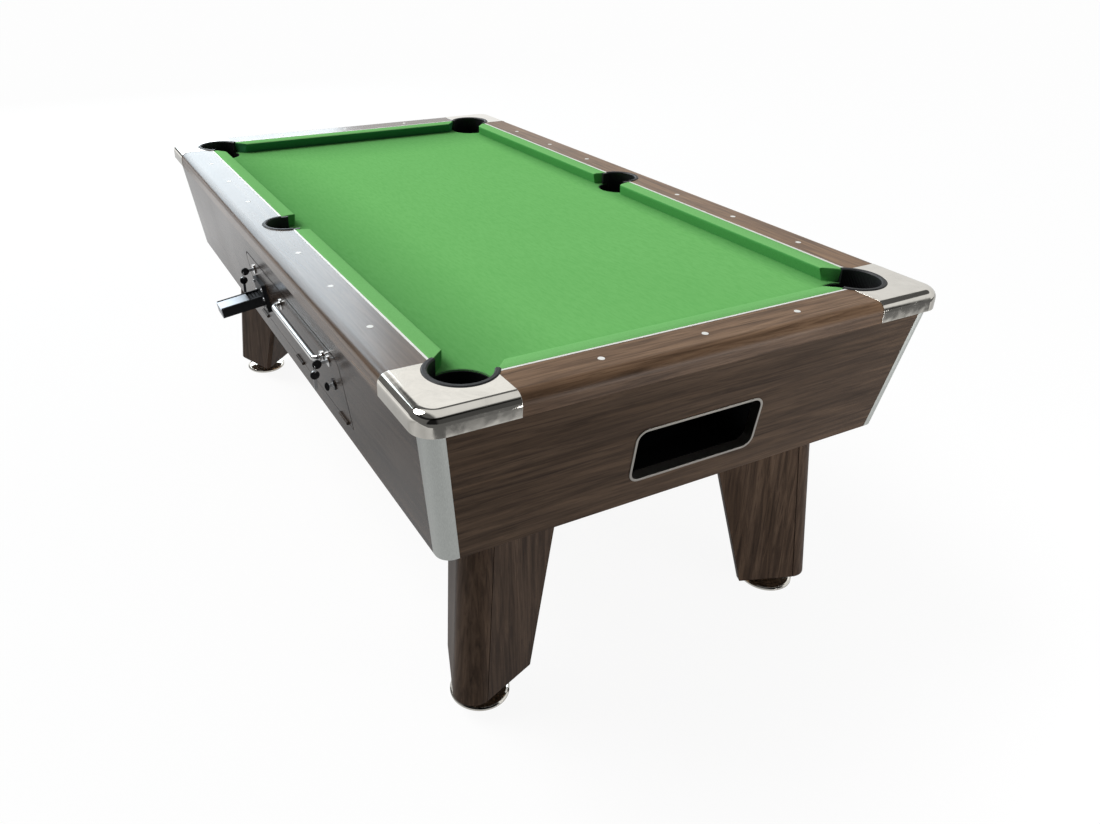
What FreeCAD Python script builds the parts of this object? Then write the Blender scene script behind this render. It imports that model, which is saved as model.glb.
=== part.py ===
import FreeCAD
import Part
import math
import os

V = FreeCAD.Vector
UP = V(0, 0, 1)
os.makedirs("parts", exist_ok=True)

# Playing field, heights and cuts
PLAY_LENGTH = 1828.8
PLAY_WIDTH = 914.4
RAIL_TOP = 806.0
OVERRUN = 20.0

# Rails, strips and castings
CUSHION_WIDTH = 40.0
TRIM_WIDTH = 5.0
TRIM_RISE = 0.4
RAIL_SIDE_WIDTH = 97.0
RAIL_END_WIDTH = 92.0
RAIL_DEPTH = 42.0
RAIL_ROUND = 22.0
BED_DROP = 31.0
DOT_RADIUS = 6.5
DOT_DEPTH = 1.8
DOT_RISE = 0.2
DOT_INSET = 39.5
DOT_CLEAR = 0.05
CAST_PROUD = 1.0
CAST_RISE = 0.6
CAST_CORNER = 45.0
CAST_WALL = 6.0

# Slate and cloth
SLATE_THICK = 19.0
CLOTH_THICK = 1.0
SLATE_REACH = 22.0
REBATE_GAP = 2.0

# Cushion section as shares of its depth and of the bed drop
CUSHION_SHARES = ((0, 0), (0, 1), (0.84, 0.97), (0.955, 0.94), (1, 0.86), (0.985, 0.72), (0.87, 0))
CORNER_JAW = 82.0
JAW_CLEAR = 1.0
JAW_FLARE = 9.7

# Pockets
MID_RADIUS = 50.0
CORNER_RADIUS = 57.0
CORNER_SHIFT = 5.0
LINER_WALL = 3.0
LINER_CLEAR = 1.0
LINER_DROP = 3.0
RIM_MID = 10.0
RIM_CORNER = 11.0
RIM_RISE = 2.5
RIM_BEVEL = 2.5
RIM_GAP = 0.3
RIM_WRAP_MID = 0.0
RIM_WRAP_CORNER = 20.0
CORNER_FACING = 45.0
TAB_LENGTH = 17.0
TAB_THICK = 7.5
TAB_CLEAR = 0.8
MID_THROAT_SHIFT = 28.0
CORNER_THROAT_SHIFT = 18.0
THROAT_CLEAR = 1.0

# Cabinet
RAIL_OVERHANG = 13.0
CAB_TAPER = 43.0
CAB_DEPTH = 292.0
PANEL = 22.0
POST_SIZE = 36.0
POST_ROUND = 28.0
POST_WALL = 4.0
CORNER_BLOCK = 60.0
FLOOR_THICK = 18.0
BEARER_DEPTH = 50.0
BEARER_WIDTH = 50.0
BEARER_SHARES = (-0.62, -0.3, 0.3, 0.62)

# Window and return
WINDOW_WIDTH = 300.0
WINDOW_HEIGHT = 119.0
WINDOW_DROP = 119.0
WINDOW_ROUND = 22.0
FRAME_WALL = 2.0
FRAME_LIP = 5.0
FRAME_PROUD = 1.5
TRAY_WALL = 6.0
TRAY_MARGIN = 9.0
TRAY_BACK = 150.0
TRAY_FLOOR = 22.0
TRAY_FALL = 8.0
TRAY_DEPTH = 132.0
TROUGH_WIDTH = 120.0
TROUGH_WALL = 5.0
TROUGH_FALL = 10.0
TROUGH_FLOOR = 8.0
TROUGH_HOLE = 128.0
RUN_WIDTH = 130.0
RUN_INSET = 65.5
RUN_END_INSET = 68.0
RUN_FALL = 44.0
RUN_FLOOR = 6.0
RUN_SHALLOW = 17.0
GATE_THICK = 7.5
GATE_CLEAR = 0.5
GATE_RIB = 8.0
GATE_SLOT = 62.0
GATE_LAND = 4.0
GATE_NECK = 25.0
GATE_TAB_THICK = 6.0
GATE_TAB_RISE = 12.0
GATE_ARM_GAP = 5.0
RIB_REACH = 35.0
NECK_LENGTH = 130.0

# Legs and feet
LEG_INSET_X = 121.0
LEG_INSET_Y = 105.0
LEG_CLEARANCE = 40.0
LEG_RAKE = 46.0
NOSE_HALF = 38.0
NOSE_BULGE = 23.0
LEG_SPREAD = math.radians(24.5)
LEG_BOARD_TOP = 212.0
LEG_BOARD_BOTTOM = 137.0
LEG_BOARD_THICK = 18.0
LEG_SEAM = 1.2
LEG_BACK_THICK = 15.0
LEG_TOP_BLOCK = 40.0
LEG_BOTTOM_BLOCK = 62.0
FOOT_BACK = 64.0
FOOT_RADIUS = 64.0
FOOT_RIM = 3.0
FOOT_LIP = 4.0
FOOT_BEAD = 3.0
FOOT_NECK = 20.0
FOOT_DISH = 17.0
FOOT_NUT = 15.0
FOOT_STEM = 8.0
FOOT_STEM_LENGTH = 52.0
FOOT_BORE_LENGTH = 56.0
PIN_CLEAR = 0.05
BOLT_RADIUS = 5.0
BOLT_HEAD = 9.0
BOLT_HEAD_HEIGHT = 7.0
HEX_SIDES = 6
BOLT_GRIP = 54.0
BOLT_FIRST = 60.0
BOLT_PITCH = 70.0
BOLT_COUNT = 2

# Access door, in the plane of the coin side
DOOR_LEFT = 180.0
DOOR_WIDTH = 750.0
DOOR_DROP = 74.0
DOOR_HEIGHT = 167.0
DOOR_ROUND = 25.0
DOOR_GAP = 3.0
DOOR_SILL_GAP = 1.0
HINGE_INSET = 30.0
HINGE_LENGTH = 51.0
HINGE_KNUCKLE = 4.0
HINGE_PIN = 2.5
HINGE_PROUD = 1.5
HINGE_CLEAR = 0.5
HINGE_SIDE_GAP = 0.3
LEAF_THICK = 1.4
LEAF_DEPTH = 18.0
LEAF_GAP = 0.4
HANDLE_INSET = 303.0
HANDLE_SPAN = 324.0
HANDLE_RISE = 122.0
HANDLE_BAR = 7.0
HANDLE_STAND = 18.0
HANDLE_BEND = 12.0
HANDLE_ROSE = 14.0
HANDLE_ROSE_THICK = 3.0

# Coin housing and slide
COIN_INSET = 109.0
COIN_RISE = 58.0
SLIDE_WIDTH = 57.0
SLIDE_HEIGHT = 26.5
SLIDE_REACH = 110.0
SLIDE_TRAVEL = 60.0
SLIDE_TAIL = 30.0
SLIDE_CLEAR = 0.5
SLIDE_RIM = 4.0
SLIDE_RECESS = 3.5
SLIDE_DARK = 34.0
SLIDE_SLOTS = 4
SLIDE_SLOT_WIDTH = 3.0
SLIDE_SLOT_DEPTH = 4.0
SLIDE_PLATE = 2.5
SLIDE_END = 2.0
FLANGE_WIDTH = 90.0
FLANGE_HEIGHT = 78.0
FLANGE_THICK = 10.0
FLANGE_ROUND = 6.0
FLANGE_RISE = 40.0
HOUSING_WALL = 4.0
HOUSING_LENGTH = 95.0
TAIL_WIDTH = 10.0
TAIL_HEIGHT = 15.0
TAIL_DROP = 1.5
TAIL_END = 98.0

# Locks and keys
LOCK_EDGE = 62.0
LOCK_FAR_EDGE = 77.0
LOCK_RISE = 133.0
LOCK_LOW_RISE = 75.0
BARREL_RADIUS = 9.5
BARREL_FACE = 13.0
BARREL_PROUD = 3.0
BARREL_BACK = 2.5
PLUG_RADIUS = 5.5
PLUG_PROUD = 0.4
CAM_GAP = 0.3
CAM_THICK = 2.2
CAM_WIDTH = 10.0
CAM_LENGTH = 45.0
CAM_LONG = 85.0
BLADE_WIDTH = 7.0
BLADE_THICK = 2.0
BLADE_LENGTH = 12.0
BOW_RADIUS = 10.0
BOW_THICK = 3.0
BOW_HOLE = 1.3
BOW_HOLE_EDGE = 2.5
LOW_BOW = 5.0
LOW_BLADE = 8.0
RING_RADIUS = 8.0
RING_WIRE = 0.8
RING_SIDES = 8
SPARE_BLADE = 24.0

# Release shaft
ARM_WIDTH = 8.0
ARM_THICK = 10.0
ROLLER_RADIUS = 8.0
ROLLER_LENGTH = 20.0
PUSH_GAP = 1.0
SHAFT_RADIUS = 6.0
SHAFT_RISE = 32.0
SHAFT_END = 47.0
BRACKET_THICK = 12.0
BRACKET_WIDTH = 36.0
BRACKET_ABOVE = 16.0
BRACKET_SPACE = 30.0
SHAFT_OVERHANG = 8.0

# Places that follow from the sizes above
NOSE_X = PLAY_WIDTH / 2
NOSE_Y = PLAY_LENGTH / 2
TRIM_X = NOSE_X + CUSHION_WIDTH
TRIM_Y = NOSE_Y + CUSHION_WIDTH
BACK_X = TRIM_X - TRIM_WIDTH / 2
BACK_Y = TRIM_Y - TRIM_WIDTH / 2
CUSHION_DEPTH = CUSHION_WIDTH - TRIM_WIDTH / 2
OUT_X = TRIM_X + RAIL_SIDE_WIDTH
OUT_Y = TRIM_Y + RAIL_END_WIDTH
BED_Z = RAIL_TOP - BED_DROP
SLATE_TOP = BED_Z - CLOTH_THICK
SLATE_BOTTOM = SLATE_TOP - SLATE_THICK
RAIL_BOTTOM = RAIL_TOP - RAIL_DEPTH
SLATE_X = TRIM_X + SLATE_REACH
SLATE_Y = TRIM_Y + SLATE_REACH
JAW_X = NOSE_X - CORNER_JAW
JAW_Y = NOSE_Y - CORNER_JAW
SEAM_X = JAW_X + CUSHION_DEPTH + JAW_CLEAR
SEAM_Y = JAW_Y + CUSHION_DEPTH + JAW_CLEAR
MID_JAW = MID_RADIUS + TAB_THICK + TAB_CLEAR
CORNER_X = NOSE_X + CORNER_SHIFT
CORNER_Y = NOSE_Y + CORNER_SHIFT
CAB_TOP = RAIL_BOTTOM
CAB_BOTTOM = CAB_TOP - CAB_DEPTH
LEAN = CAB_TAPER / CAB_DEPTH
LEAN_ANGLE = math.atan(LEAN)
LEAN_SIN = math.sin(LEAN_ANGLE)
LEAN_COS = math.cos(LEAN_ANGLE)
PANEL_DEEP = PANEL * LEAN_COS
PANEL_RISE = CAB_DEPTH / LEAN_COS
WINDOW_SILL = PANEL_RISE - WINDOW_DROP - WINDOW_HEIGHT
FLOOR_TOP = CAB_BOTTOM + FLOOR_THICK
BEARER_BOTTOM = SLATE_BOTTOM - BEARER_DEPTH
RUN_TOP = BEARER_BOTTOM
CORNERS = {"front_coin": (-1, -1), "front_plain": (1, -1), "rear_coin": (-1, 1), "rear_plain": (1, 1)}
CORNER_REACH = CORNER_RADIUS + RIM_CORNER + RIM_GAP


def save(name, *solids):
    shape = solids[0] if len(solids) == 1 else Part.makeCompound(list(solids))
    shape.exportStep("parts/%s.step" % name)


def block(x0, x1, y0, y1, z0, z1):
    return Part.makeBox(x1 - x0, y1 - y0, z1 - z0, V(x0, y0, z0))


def rod(radius, start, end):
    return Part.makeCylinder(radius, (end - start).Length, start, end - start)


def post(radius, x, y, z0, z1):
    return Part.makeCylinder(radius, z1 - z0, V(x, y, z0))


def face(points):
    return Part.Face(Part.makePolygon(list(points) + [points[0]]))


def prism(points, along):
    return face(points).extrude(along)


def hexa(low, high):
    """A solid with flat sides between two outlines with the same number of corners."""
    faces = [face(low), face(high)]
    for i in range(len(low)):
        j = (i + 1) % len(low)
        faces.append(face([low[i], low[j], high[j], high[i]]))
    solid = Part.makeSolid(Part.makeShell(faces))
    if solid.Volume < 0:
        solid.reverse()
    return solid


def lathe(profile, x, y, start, sweep):
    """Turns a profile of (radius, height) points about an upright axis at x, y."""
    section = face([V(r, 0, z) for r, z in profile])
    section.rotate(V(0, 0, 0), UP, start)
    section.translate(V(x, y, 0))
    return section.revolve(V(x, y, 0), UP, sweep)


def outline(u0, u1, v0, v1, low_round, high_round):
    """A closed rectangle in the XY plane whose lower and upper corners are rounded."""
    edges = []
    k = math.sqrt(2) / 2
    spots = [(u1, v0, 1, -1, low_round), (u1, v1, 1, 1, high_round),
             (u0, v1, -1, 1, high_round), (u0, v0, -1, -1, low_round)]
    runs = []
    for n, (u, v, su, sv, r) in enumerate(spots):
        along_v = V(u, v - sv * r, 0)
        along_u = V(u - su * r, v, 0)
        first, last = (along_v, along_u) if n % 2 == 1 else (along_u, along_v)
        middle = V(u - su * r * (1 - k), v - sv * r * (1 - k), 0)
        runs.append((first, middle, last, r))
    for n, (first, middle, last, r) in enumerate(runs):
        if r > 0:
            edges.append(Part.Arc(first, middle, last).toShape())
        edges.append(Part.LineSegment(last, runs[(n + 1) % len(runs)][0]).toShape())
    return Part.Wire(edges)


def slab(u0, u1, v0, v1, w0, w1, low_round=0, high_round=0):
    """A plate with rounded corners, between two depths."""
    plate = Part.Face(outline(u0, u1, v0, v1, low_round, high_round))
    plate.translate(V(0, 0, w0))
    return plate.extrude(V(0, 0, w1 - w0))


def lay(shape, place):
    laid = shape.copy()
    laid.Placement = place.multiply(laid.Placement)
    return laid


def axes(o, u, v, w):
    rows = FreeCAD.Matrix(u.x, v.x, w.x, o.x, u.y, v.y, w.y, o.y, u.z, v.z, w.z, o.z, 0, 0, 0, 1)
    return FreeCAD.Placement(rows)


def cab_x(z):
    return OUT_X - RAIL_OVERHANG - (CAB_TOP - z) * LEAN


def cab_y(z):
    return OUT_Y - RAIL_OVERHANG - (CAB_TOP - z) * LEAN


def inside(z0, z1):
    """The space between the four panels from one height to another."""
    def ring(z):
        x = cab_x(z) - PANEL
        y = cab_y(z) - PANEL
        return [V(-x, -y, z), V(x, -y, z), V(x, y, z), V(-x, y, z)]
    return hexa(ring(z0), ring(z1))


# Sloping faces: u along the panel, v up it, w out of it
COIN_SIDE = axes(V(-cab_x(CAB_BOTTOM), 0, CAB_BOTTOM), V(0, -1, 0),
                 V(-LEAN_SIN, 0, LEAN_COS), V(-LEAN_COS, 0, -LEAN_SIN))
FRONT = axes(V(0, -cab_y(CAB_BOTTOM), CAB_BOTTOM), V(1, 0, 0),
             V(0, -LEAN_SIN, LEAN_COS), V(0, -LEAN_COS, -LEAN_SIN))


# Rails with their rounded outer edge
def rail_section(inner, outer, rebate):
    k = math.sqrt(2) / 2
    turn = outer - RAIL_ROUND
    top = [V(inner, 0, BED_Z), V(inner, 0, RAIL_TOP), V(turn, 0, RAIL_TOP)]
    low = [V(outer, 0, RAIL_TOP - RAIL_ROUND), V(outer, 0, RAIL_BOTTOM),
           V(rebate, 0, RAIL_BOTTOM), V(rebate, 0, BED_Z)]
    middle = V(turn + RAIL_ROUND * k, 0, RAIL_TOP - RAIL_ROUND * (1 - k))
    edges = [Part.LineSegment(a, b).toShape() for a, b in zip(top, top[1:])]
    edges.append(Part.Arc(top[-1], middle, low[0]).toShape())
    ends = low + [top[0]]
    edges += [Part.LineSegment(a, b).toShape() for a, b in zip(ends, ends[1:])]
    return Part.Face(Part.Wire(edges))


def dot_places(span, count):
    return [k * span / count for k in range(1 - count // 2, count // 2) if k]


def dot_hole(x, y):
    return post(DOT_RADIUS + DOT_CLEAR, x, y, RAIL_TOP - DOT_DEPTH, RAIL_TOP + OVERRUN)


def rim_space(radius, x, y):
    return post(radius, x, y, RAIL_BOTTOM - OVERRUN, RAIL_TOP + OVERRUN)


def side_rail():
    section = rail_section(TRIM_X + TRIM_WIDTH / 2, OUT_X, SLATE_X + REBATE_GAP)
    section.translate(V(0, -SEAM_Y, 0))
    rail = section.extrude(V(0, 2 * SEAM_Y, 0))
    rail = rail.cut(rim_space(MID_RADIUS + RIM_MID + RIM_GAP, TRIM_X, 0))
    for side in (-1, 1):
        rail = rail.cut(rim_space(CORNER_REACH, CORNER_X, side * CORNER_Y))
    for y in dot_places(PLAY_LENGTH, 8):
        rail = rail.cut(dot_hole(TRIM_X + DOT_INSET, y))
    return rail


def end_rail():
    section = rail_section(TRIM_Y + TRIM_WIDTH / 2, OUT_Y, SLATE_Y + REBATE_GAP)
    section.rotate(V(0, 0, 0), UP, 90)
    section.translate(V(-SEAM_X, 0, 0))
    rail = section.extrude(V(2 * SEAM_X, 0, 0))
    for side in (-1, 1):
        rail = rail.cut(rim_space(CORNER_REACH, side * CORNER_X, CORNER_Y))
    for x in [0] + dot_places(PLAY_WIDTH, 4):
        rail = rail.cut(dot_hole(x, TRIM_Y + DOT_INSET))
    return rail


def flip_x(shape):
    return shape.mirror(V(0, 0, 0), V(1, 0, 0))


def flip_y(shape):
    return shape.mirror(V(0, 0, 0), V(0, 1, 0))


def to_corner(shape, sx, sy):
    shape = flip_x(shape) if sx < 0 else shape
    return flip_y(shape) if sy < 0 else shape


RAIL_SIDE = side_rail()
RAIL_END = end_rail()
save("rail_plain_side", RAIL_SIDE)
save("rail_coin_side", flip_x(RAIL_SIDE))
save("rail_rear", RAIL_END)
save("rail_front", flip_y(RAIL_END))

# Sight dots sunk in the rails
side_dots = [(s * (TRIM_X + DOT_INSET), y) for s in (-1, 1) for y in dot_places(PLAY_LENGTH, 8)]
end_dots = [(x, s * (TRIM_Y + DOT_INSET)) for s in (-1, 1) for x in [0] + dot_places(PLAY_WIDTH, 4)]
dots = []
for x, y in side_dots + end_dots:
    dots.append(post(DOT_RADIUS, x, y, RAIL_TOP - DOT_DEPTH, RAIL_TOP + DOT_RISE))
save("sight_dots", *dots)


# Corner castings: an L round the pocket, rounded like the rails and hollow below
def casting():
    k = math.sqrt(2) / 2
    x, y, r = OUT_X + CAST_PROUD, OUT_Y + CAST_PROUD, CAST_CORNER
    a, b = V(x, y - r, RAIL_BOTTOM), V(x - r, y, RAIL_BOTTOM)
    middle = V(x - r * (1 - k), y - r * (1 - k), RAIL_BOTTOM)
    before = [V(TRIM_X, TRIM_Y, RAIL_BOTTOM), V(TRIM_X, SEAM_Y, RAIL_BOTTOM),
              V(x, SEAM_Y, RAIL_BOTTOM), a]
    after = [b, V(SEAM_X, y, RAIL_BOTTOM), V(SEAM_X, TRIM_Y, RAIL_BOTTOM), before[0]]
    edges = [Part.LineSegment(p, q).toShape() for p, q in zip(before, before[1:])]
    edges.append(Part.Arc(a, middle, b).toShape())
    edges += [Part.LineSegment(p, q).toShape() for p, q in zip(after, after[1:])]
    top = RAIL_TOP + CAST_RISE
    body = Part.Face(Part.Wire(edges)).extrude(V(0, 0, top - RAIL_BOTTOM))
    rim = []
    for e in body.Edges:
        box = e.BoundBox
        outer = box.XMin > x - r - CAST_PROUD and box.YMin > y - r - CAST_PROUD
        on_side = abs(box.XMin - x) < CAST_PROUD / 2
        on_end = abs(box.YMin - y) < CAST_PROUD / 2
        if abs(box.ZMin - top) < CAST_PROUD / 2 and (outer or on_side or on_end):
            rim.append(e)
    body = body.makeFillet(RAIL_ROUND, rim)
    below = RAIL_BOTTOM - OVERRUN
    body = body.cut(rim_space(CORNER_REACH, CORNER_X, CORNER_Y))
    body = body.cut(block(0, SLATE_X + REBATE_GAP, 0, SLATE_Y + REBATE_GAP, below, BED_Z))
    x1, y1 = x - RAIL_ROUND - CAST_RISE, y - RAIL_ROUND - CAST_RISE
    x0, y0 = CORNER_X + CORNER_REACH + CAST_WALL, CORNER_Y + CORNER_REACH + CAST_WALL
    roof = RAIL_TOP - CAST_WALL
    body = body.cut(block(x0, x1, SEAM_Y + CAST_WALL, y1, below, roof))
    return body.cut(block(SEAM_X + CAST_WALL, x1, y0, y1, below, roof))


CASTING = casting()
for name, (sx, sy) in CORNERS.items():
    save("casting_" + name, to_corner(CASTING, sx, sy))


# Cushions: a straight run, mitred at the corner jaws and flared at the middle ones
def cushion(s0, s1, corner0, corner1):
    section = face([V(s0 - CUSHION_DEPTH, -d * CUSHION_DEPTH, h * BED_DROP) for d, h in CUSHION_SHARES])
    body = section.extrude(V(s1 - s0 + 2 * CUSHION_DEPTH, 0, 0))
    for s, corner, side in ((s0, corner0, -1), (s1, corner1, 1)):
        back, nose = (CUSHION_DEPTH, 0) if corner else (0, -JAW_FLARE)
        slope = (back - nose) / CUSHION_DEPTH * OVERRUN
        far = s + side * (CUSHION_DEPTH + 2 * OVERRUN)
        wedge = [V(s + side * (back + slope), OVERRUN, -OVERRUN), V(far, OVERRUN, -OVERRUN),
                 V(far, -CUSHION_DEPTH - OVERRUN, -OVERRUN),
                 V(s + side * (nose - slope), -CUSHION_DEPTH - OVERRUN, -OVERRUN)]
        body = body.cut(prism(wedge, V(0, 0, BED_DROP + 2 * OVERRUN)))
    return body.removeSplitter()


# Room for the raised rims of the corner liners
def rim_notches():
    low, high = BED_Z - OVERRUN, RAIL_TOP + OVERRUN
    turn = RIM_WRAP_CORNER + math.degrees(RIM_GAP / CORNER_RADIUS)
    profile = [(0, low), (CORNER_REACH, low), (CORNER_REACH, high), (0, high)]
    notch = lathe(profile, CORNER_X, CORNER_Y, CORNER_FACING - 90 - turn, 180 + 2 * turn)
    return [to_corner(notch, sx, sy) for sx, sy in CORNERS.values()]


def placed(shape, x, y, angle):
    shape = shape.copy()
    shape.rotate(V(0, 0, 0), UP, angle)
    shape.translate(V(x, y, BED_Z))
    return shape


RIM_NOTCHES = rim_notches()
END_CUSHION = cushion(-JAW_X, JAW_X, True, True)
LOW_HALF = cushion(-JAW_Y, -MID_JAW, True, False)
HIGH_HALF = cushion(MID_JAW, JAW_Y, False, True)
for name, shape, x, y, angle in (("rear", END_CUSHION, 0, BACK_Y, 0), ("front", END_CUSHION, 0, -BACK_Y, 180),
                                 ("plain_rear", LOW_HALF, BACK_X, 0, -90),
                                 ("plain_front", HIGH_HALF, BACK_X, 0, -90),
                                 ("coin_rear", HIGH_HALF, -BACK_X, 0, 90),
                                 ("coin_front", LOW_HALF, -BACK_X, 0, 90)):
    save("cushion_" + name, placed(shape, x, y, angle).cut(RIM_NOTCHES))

# White strips between the cushions and the rails
strips = []
for s in (-1, 1):
    x0, x1 = sorted((s * BACK_X, s * (BACK_X + TRIM_WIDTH)))
    y0, y1 = sorted((s * BACK_Y, s * (BACK_Y + TRIM_WIDTH)))
    run = SEAM_Y - JAW_CLEAR
    for e in (-1, 1):
        a, b = sorted((e * (MID_RADIUS + RIM_MID + RIM_GAP), e * run))
        strips.append(block(x0, x1, a, b, BED_Z, RAIL_TOP + TRIM_RISE))
    half = SEAM_X - JAW_CLEAR
    strips.append(block(-half, half, y0, y1, BED_Z, RAIL_TOP + TRIM_RISE))
save("trim_strips", *[strip.cut(RIM_NOTCHES) for strip in strips])


# Slate and cloth share the pocket cut-outs
def bed_layer(z0, z1):
    bed = block(-SLATE_X, SLATE_X, -SLATE_Y, SLATE_Y, z0, z1)
    low, high = z0 - OVERRUN, z1 + OVERRUN
    around = LINER_WALL + LINER_CLEAR
    for s in (-1, 1):
        bed = bed.cut(post(MID_RADIUS + around, s * TRIM_X, 0, low, high))
    for sx, sy in CORNERS.values():
        hole = post(CORNER_RADIUS + around, CORNER_X, CORNER_Y, low, high)
        notch = block(CORNER_X, SLATE_X + OVERRUN, CORNER_Y, SLATE_Y + OVERRUN, low, high)
        bed = bed.cut(to_corner(hole.fuse(notch), sx, sy))
    return bed


save("slate_bed", bed_layer(SLATE_BOTTOM, SLATE_TOP))
save("bed_cloth", bed_layer(SLATE_TOP, BED_Z))


# Pocket liners: a ring through the slate, a raised half rim and a slanting throat
def liner(x, y, radius, rim, facing, wrap, shift):
    seat = BED_Z - LINER_DROP
    top = RAIL_TOP + RIM_RISE
    wall = radius + LINER_WALL
    edge = radius + rim
    sleeve = [(radius, SLATE_BOTTOM), (wall, SLATE_BOTTOM), (wall, seat), (radius, seat)]
    profile = [(radius, seat), (wall, seat), (wall, BED_Z + RIM_GAP), (edge, BED_Z + RIM_GAP),
               (edge, top - RIM_BEVEL), (edge - RIM_BEVEL, top),
               (radius + RIM_BEVEL, top), (radius, top - RIM_BEVEL)]
    body = lathe(sleeve, x, y, 0, 360)
    body = body.fuse(lathe(profile, x, y, facing - 90 - wrap, 180 + 2 * wrap))
    mouth = Part.Face([Part.Wire(Part.makeCircle(r, V(x, y, SLATE_BOTTOM))) for r in (wall, radius)])
    throat = mouth.extrude(V(shift.x, shift.y, RUN_TOP + THROAT_CLEAR - SLATE_BOTTOM))
    return body.fuse(throat)


MID_LINER = liner(TRIM_X, 0, MID_RADIUS, RIM_MID, 0, RIM_WRAP_MID, V(-MID_THROAT_SHIFT, 0, 0))
tab_low, tab_high = BED_Z + RIM_GAP, RAIL_TOP + RIM_RISE - RIM_BEVEL
for s in (-1, 1):
    a, b = sorted((s * MID_RADIUS, s * (MID_RADIUS + TAB_THICK)))
    MID_LINER = MID_LINER.fuse(block(TRIM_X - TAB_LENGTH, TRIM_X, a, b, tab_low, tab_high))
MID_LINER = MID_LINER.removeSplitter()
CORNER_LINER = liner(CORNER_X, CORNER_Y, CORNER_RADIUS, RIM_CORNER, CORNER_FACING, RIM_WRAP_CORNER,
                     V(0, -CORNER_THROAT_SHIFT, 0)).removeSplitter()
save("pocket_liner_mid_plain", MID_LINER)
save("pocket_liner_mid_coin", flip_x(MID_LINER))
for name, (sx, sy) in CORNERS.items():
    save("pocket_liner_" + name, to_corner(CORNER_LINER, sx, sy))


# Cabinet panels lean out towards the top
def end_panel(s):
    def quad(z):
        x, y = cab_x(z) - POST_SIZE, cab_y(z)
        back = y - PANEL
        return [V(-x, s * y, z), V(x, s * y, z), V(x, s * back, z), V(-x, s * back, z)]
    return hexa(quad(CAB_BOTTOM), quad(CAB_TOP))


def side_panel(s):
    def quad(z):
        x, y = cab_x(z), cab_y(z) - POST_SIZE
        back = x - PANEL
        return [V(s * x, -y, z), V(s * x, y, z), V(s * back, y, z), V(s * back, -y, z)]
    return hexa(quad(CAB_BOTTOM), quad(CAB_TOP))


half_window = WINDOW_WIDTH / 2
WINDOW_HEAD = WINDOW_SILL + WINDOW_HEIGHT
window = slab(-half_window, half_window, WINDOW_SILL, WINDOW_HEAD, -PANEL_DEEP - OVERRUN, OVERRUN,
              WINDOW_ROUND, WINDOW_ROUND)
save("front_panel", end_panel(-1).cut(lay(window, FRONT)))
save("rear_panel", end_panel(1))
save("plain_side_panel", side_panel(1))


# Window frame: a lining with a thin lip on the outside
def frame_ring(grow, w0, w1):
    a, r = half_window + grow, WINDOW_ROUND + grow
    return slab(-a, a, WINDOW_SILL - grow, WINDOW_HEAD + grow, w0, w1, r, r)


frame = frame_ring(-PIN_CLEAR, -PANEL_DEEP, FRAME_PROUD)
frame = frame.fuse(frame_ring(FRAME_LIP - FRAME_WALL, 0, FRAME_PROUD))
frame = frame.cut(frame_ring(-FRAME_WALL, -PANEL_DEEP - OVERRUN, FRAME_PROUD + OVERRUN))
save("window_frame", lay(frame.removeSplitter(), FRONT))


# Corner posts and the blocks behind them
def corner_point(a, b, sx, sy, z):
    return V(sx * (cab_x(z) - a), sy * (cab_y(z) - b), z)


def post_wire(grow, sx, sy):
    k = math.sqrt(2) / 2
    c, r, far = POST_ROUND, POST_ROUND - grow, POST_SIZE - grow
    p = [corner_point(a, b, sx, sy, CAB_TOP) for a, b in
         ((far, grow), (c, grow), (c - r * k, c - r * k), (grow, c), (grow, far), (far, far))]
    edges = [Part.LineSegment(p[0], p[1]).toShape(), Part.Arc(p[1], p[2], p[3]).toShape()]
    rest = p[3:] + p[:1]
    edges += [Part.LineSegment(a, b).toShape() for a, b in zip(rest, rest[1:])]
    return Part.Wire(edges)


posts, blocks = [], []
for sx, sy in CORNERS.values():
    slope = V(-sx * CAB_TAPER, -sy * CAB_TAPER, -CAB_DEPTH)
    posts.append(Part.Face([post_wire(0, sx, sy), post_wire(POST_WALL, sx, sy)]).extrude(slope))
    spots = ((POST_SIZE, PANEL), (CORNER_BLOCK, PANEL), (PANEL, CORNER_BLOCK),
             (PANEL, POST_SIZE), (POST_SIZE, POST_SIZE))
    blocks.append(hexa([corner_point(a, b, sx, sy, FLOOR_TOP) for a, b in spots],
                       [corner_point(a, b, sx, sy, SLATE_BOTTOM) for a, b in spots]))
save("corner_posts", *posts)

# Slate bearers between the side panels
framing = list(blocks)
for share in BEARER_SHARES:
    y0 = share * SLATE_Y - BEARER_WIDTH / 2
    beam = block(-OUT_X, OUT_X, y0, y0 + BEARER_WIDTH, BEARER_BOTTOM, SLATE_BOTTOM)
    framing.append(beam.common(inside(CAB_BOTTOM, CAB_TOP)))
save("cabinet_framing", *framing)

# Leg bolts and the holes they share with the floor and the leg blocks
leg_bolts = []
bolt_holes = []
LEG_X = cab_x(CAB_BOTTOM) - LEG_INSET_X
LEG_Y = cab_y(CAB_BOTTOM) - LEG_INSET_Y
for back in [BOLT_FIRST + n * BOLT_PITCH for n in range(BOLT_COUNT)]:
    low = FLOOR_TOP - BOLT_GRIP
    turns = [2 * math.pi * n / HEX_SIDES for n in range(HEX_SIDES)]
    hexagon = [V(BOLT_HEAD * math.cos(t) - back, BOLT_HEAD * math.sin(t), FLOOR_TOP) for t in turns]
    shank = post(BOLT_RADIUS, -back, 0, low, FLOOR_TOP)
    leg_bolts.append(shank.fuse(prism(hexagon, V(0, 0, BOLT_HEAD_HEIGHT))))
    bolt_holes.append(post(BOLT_RADIUS + PIN_CLEAR, -back, 0, low, FLOOR_TOP + OVERRUN))


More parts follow.
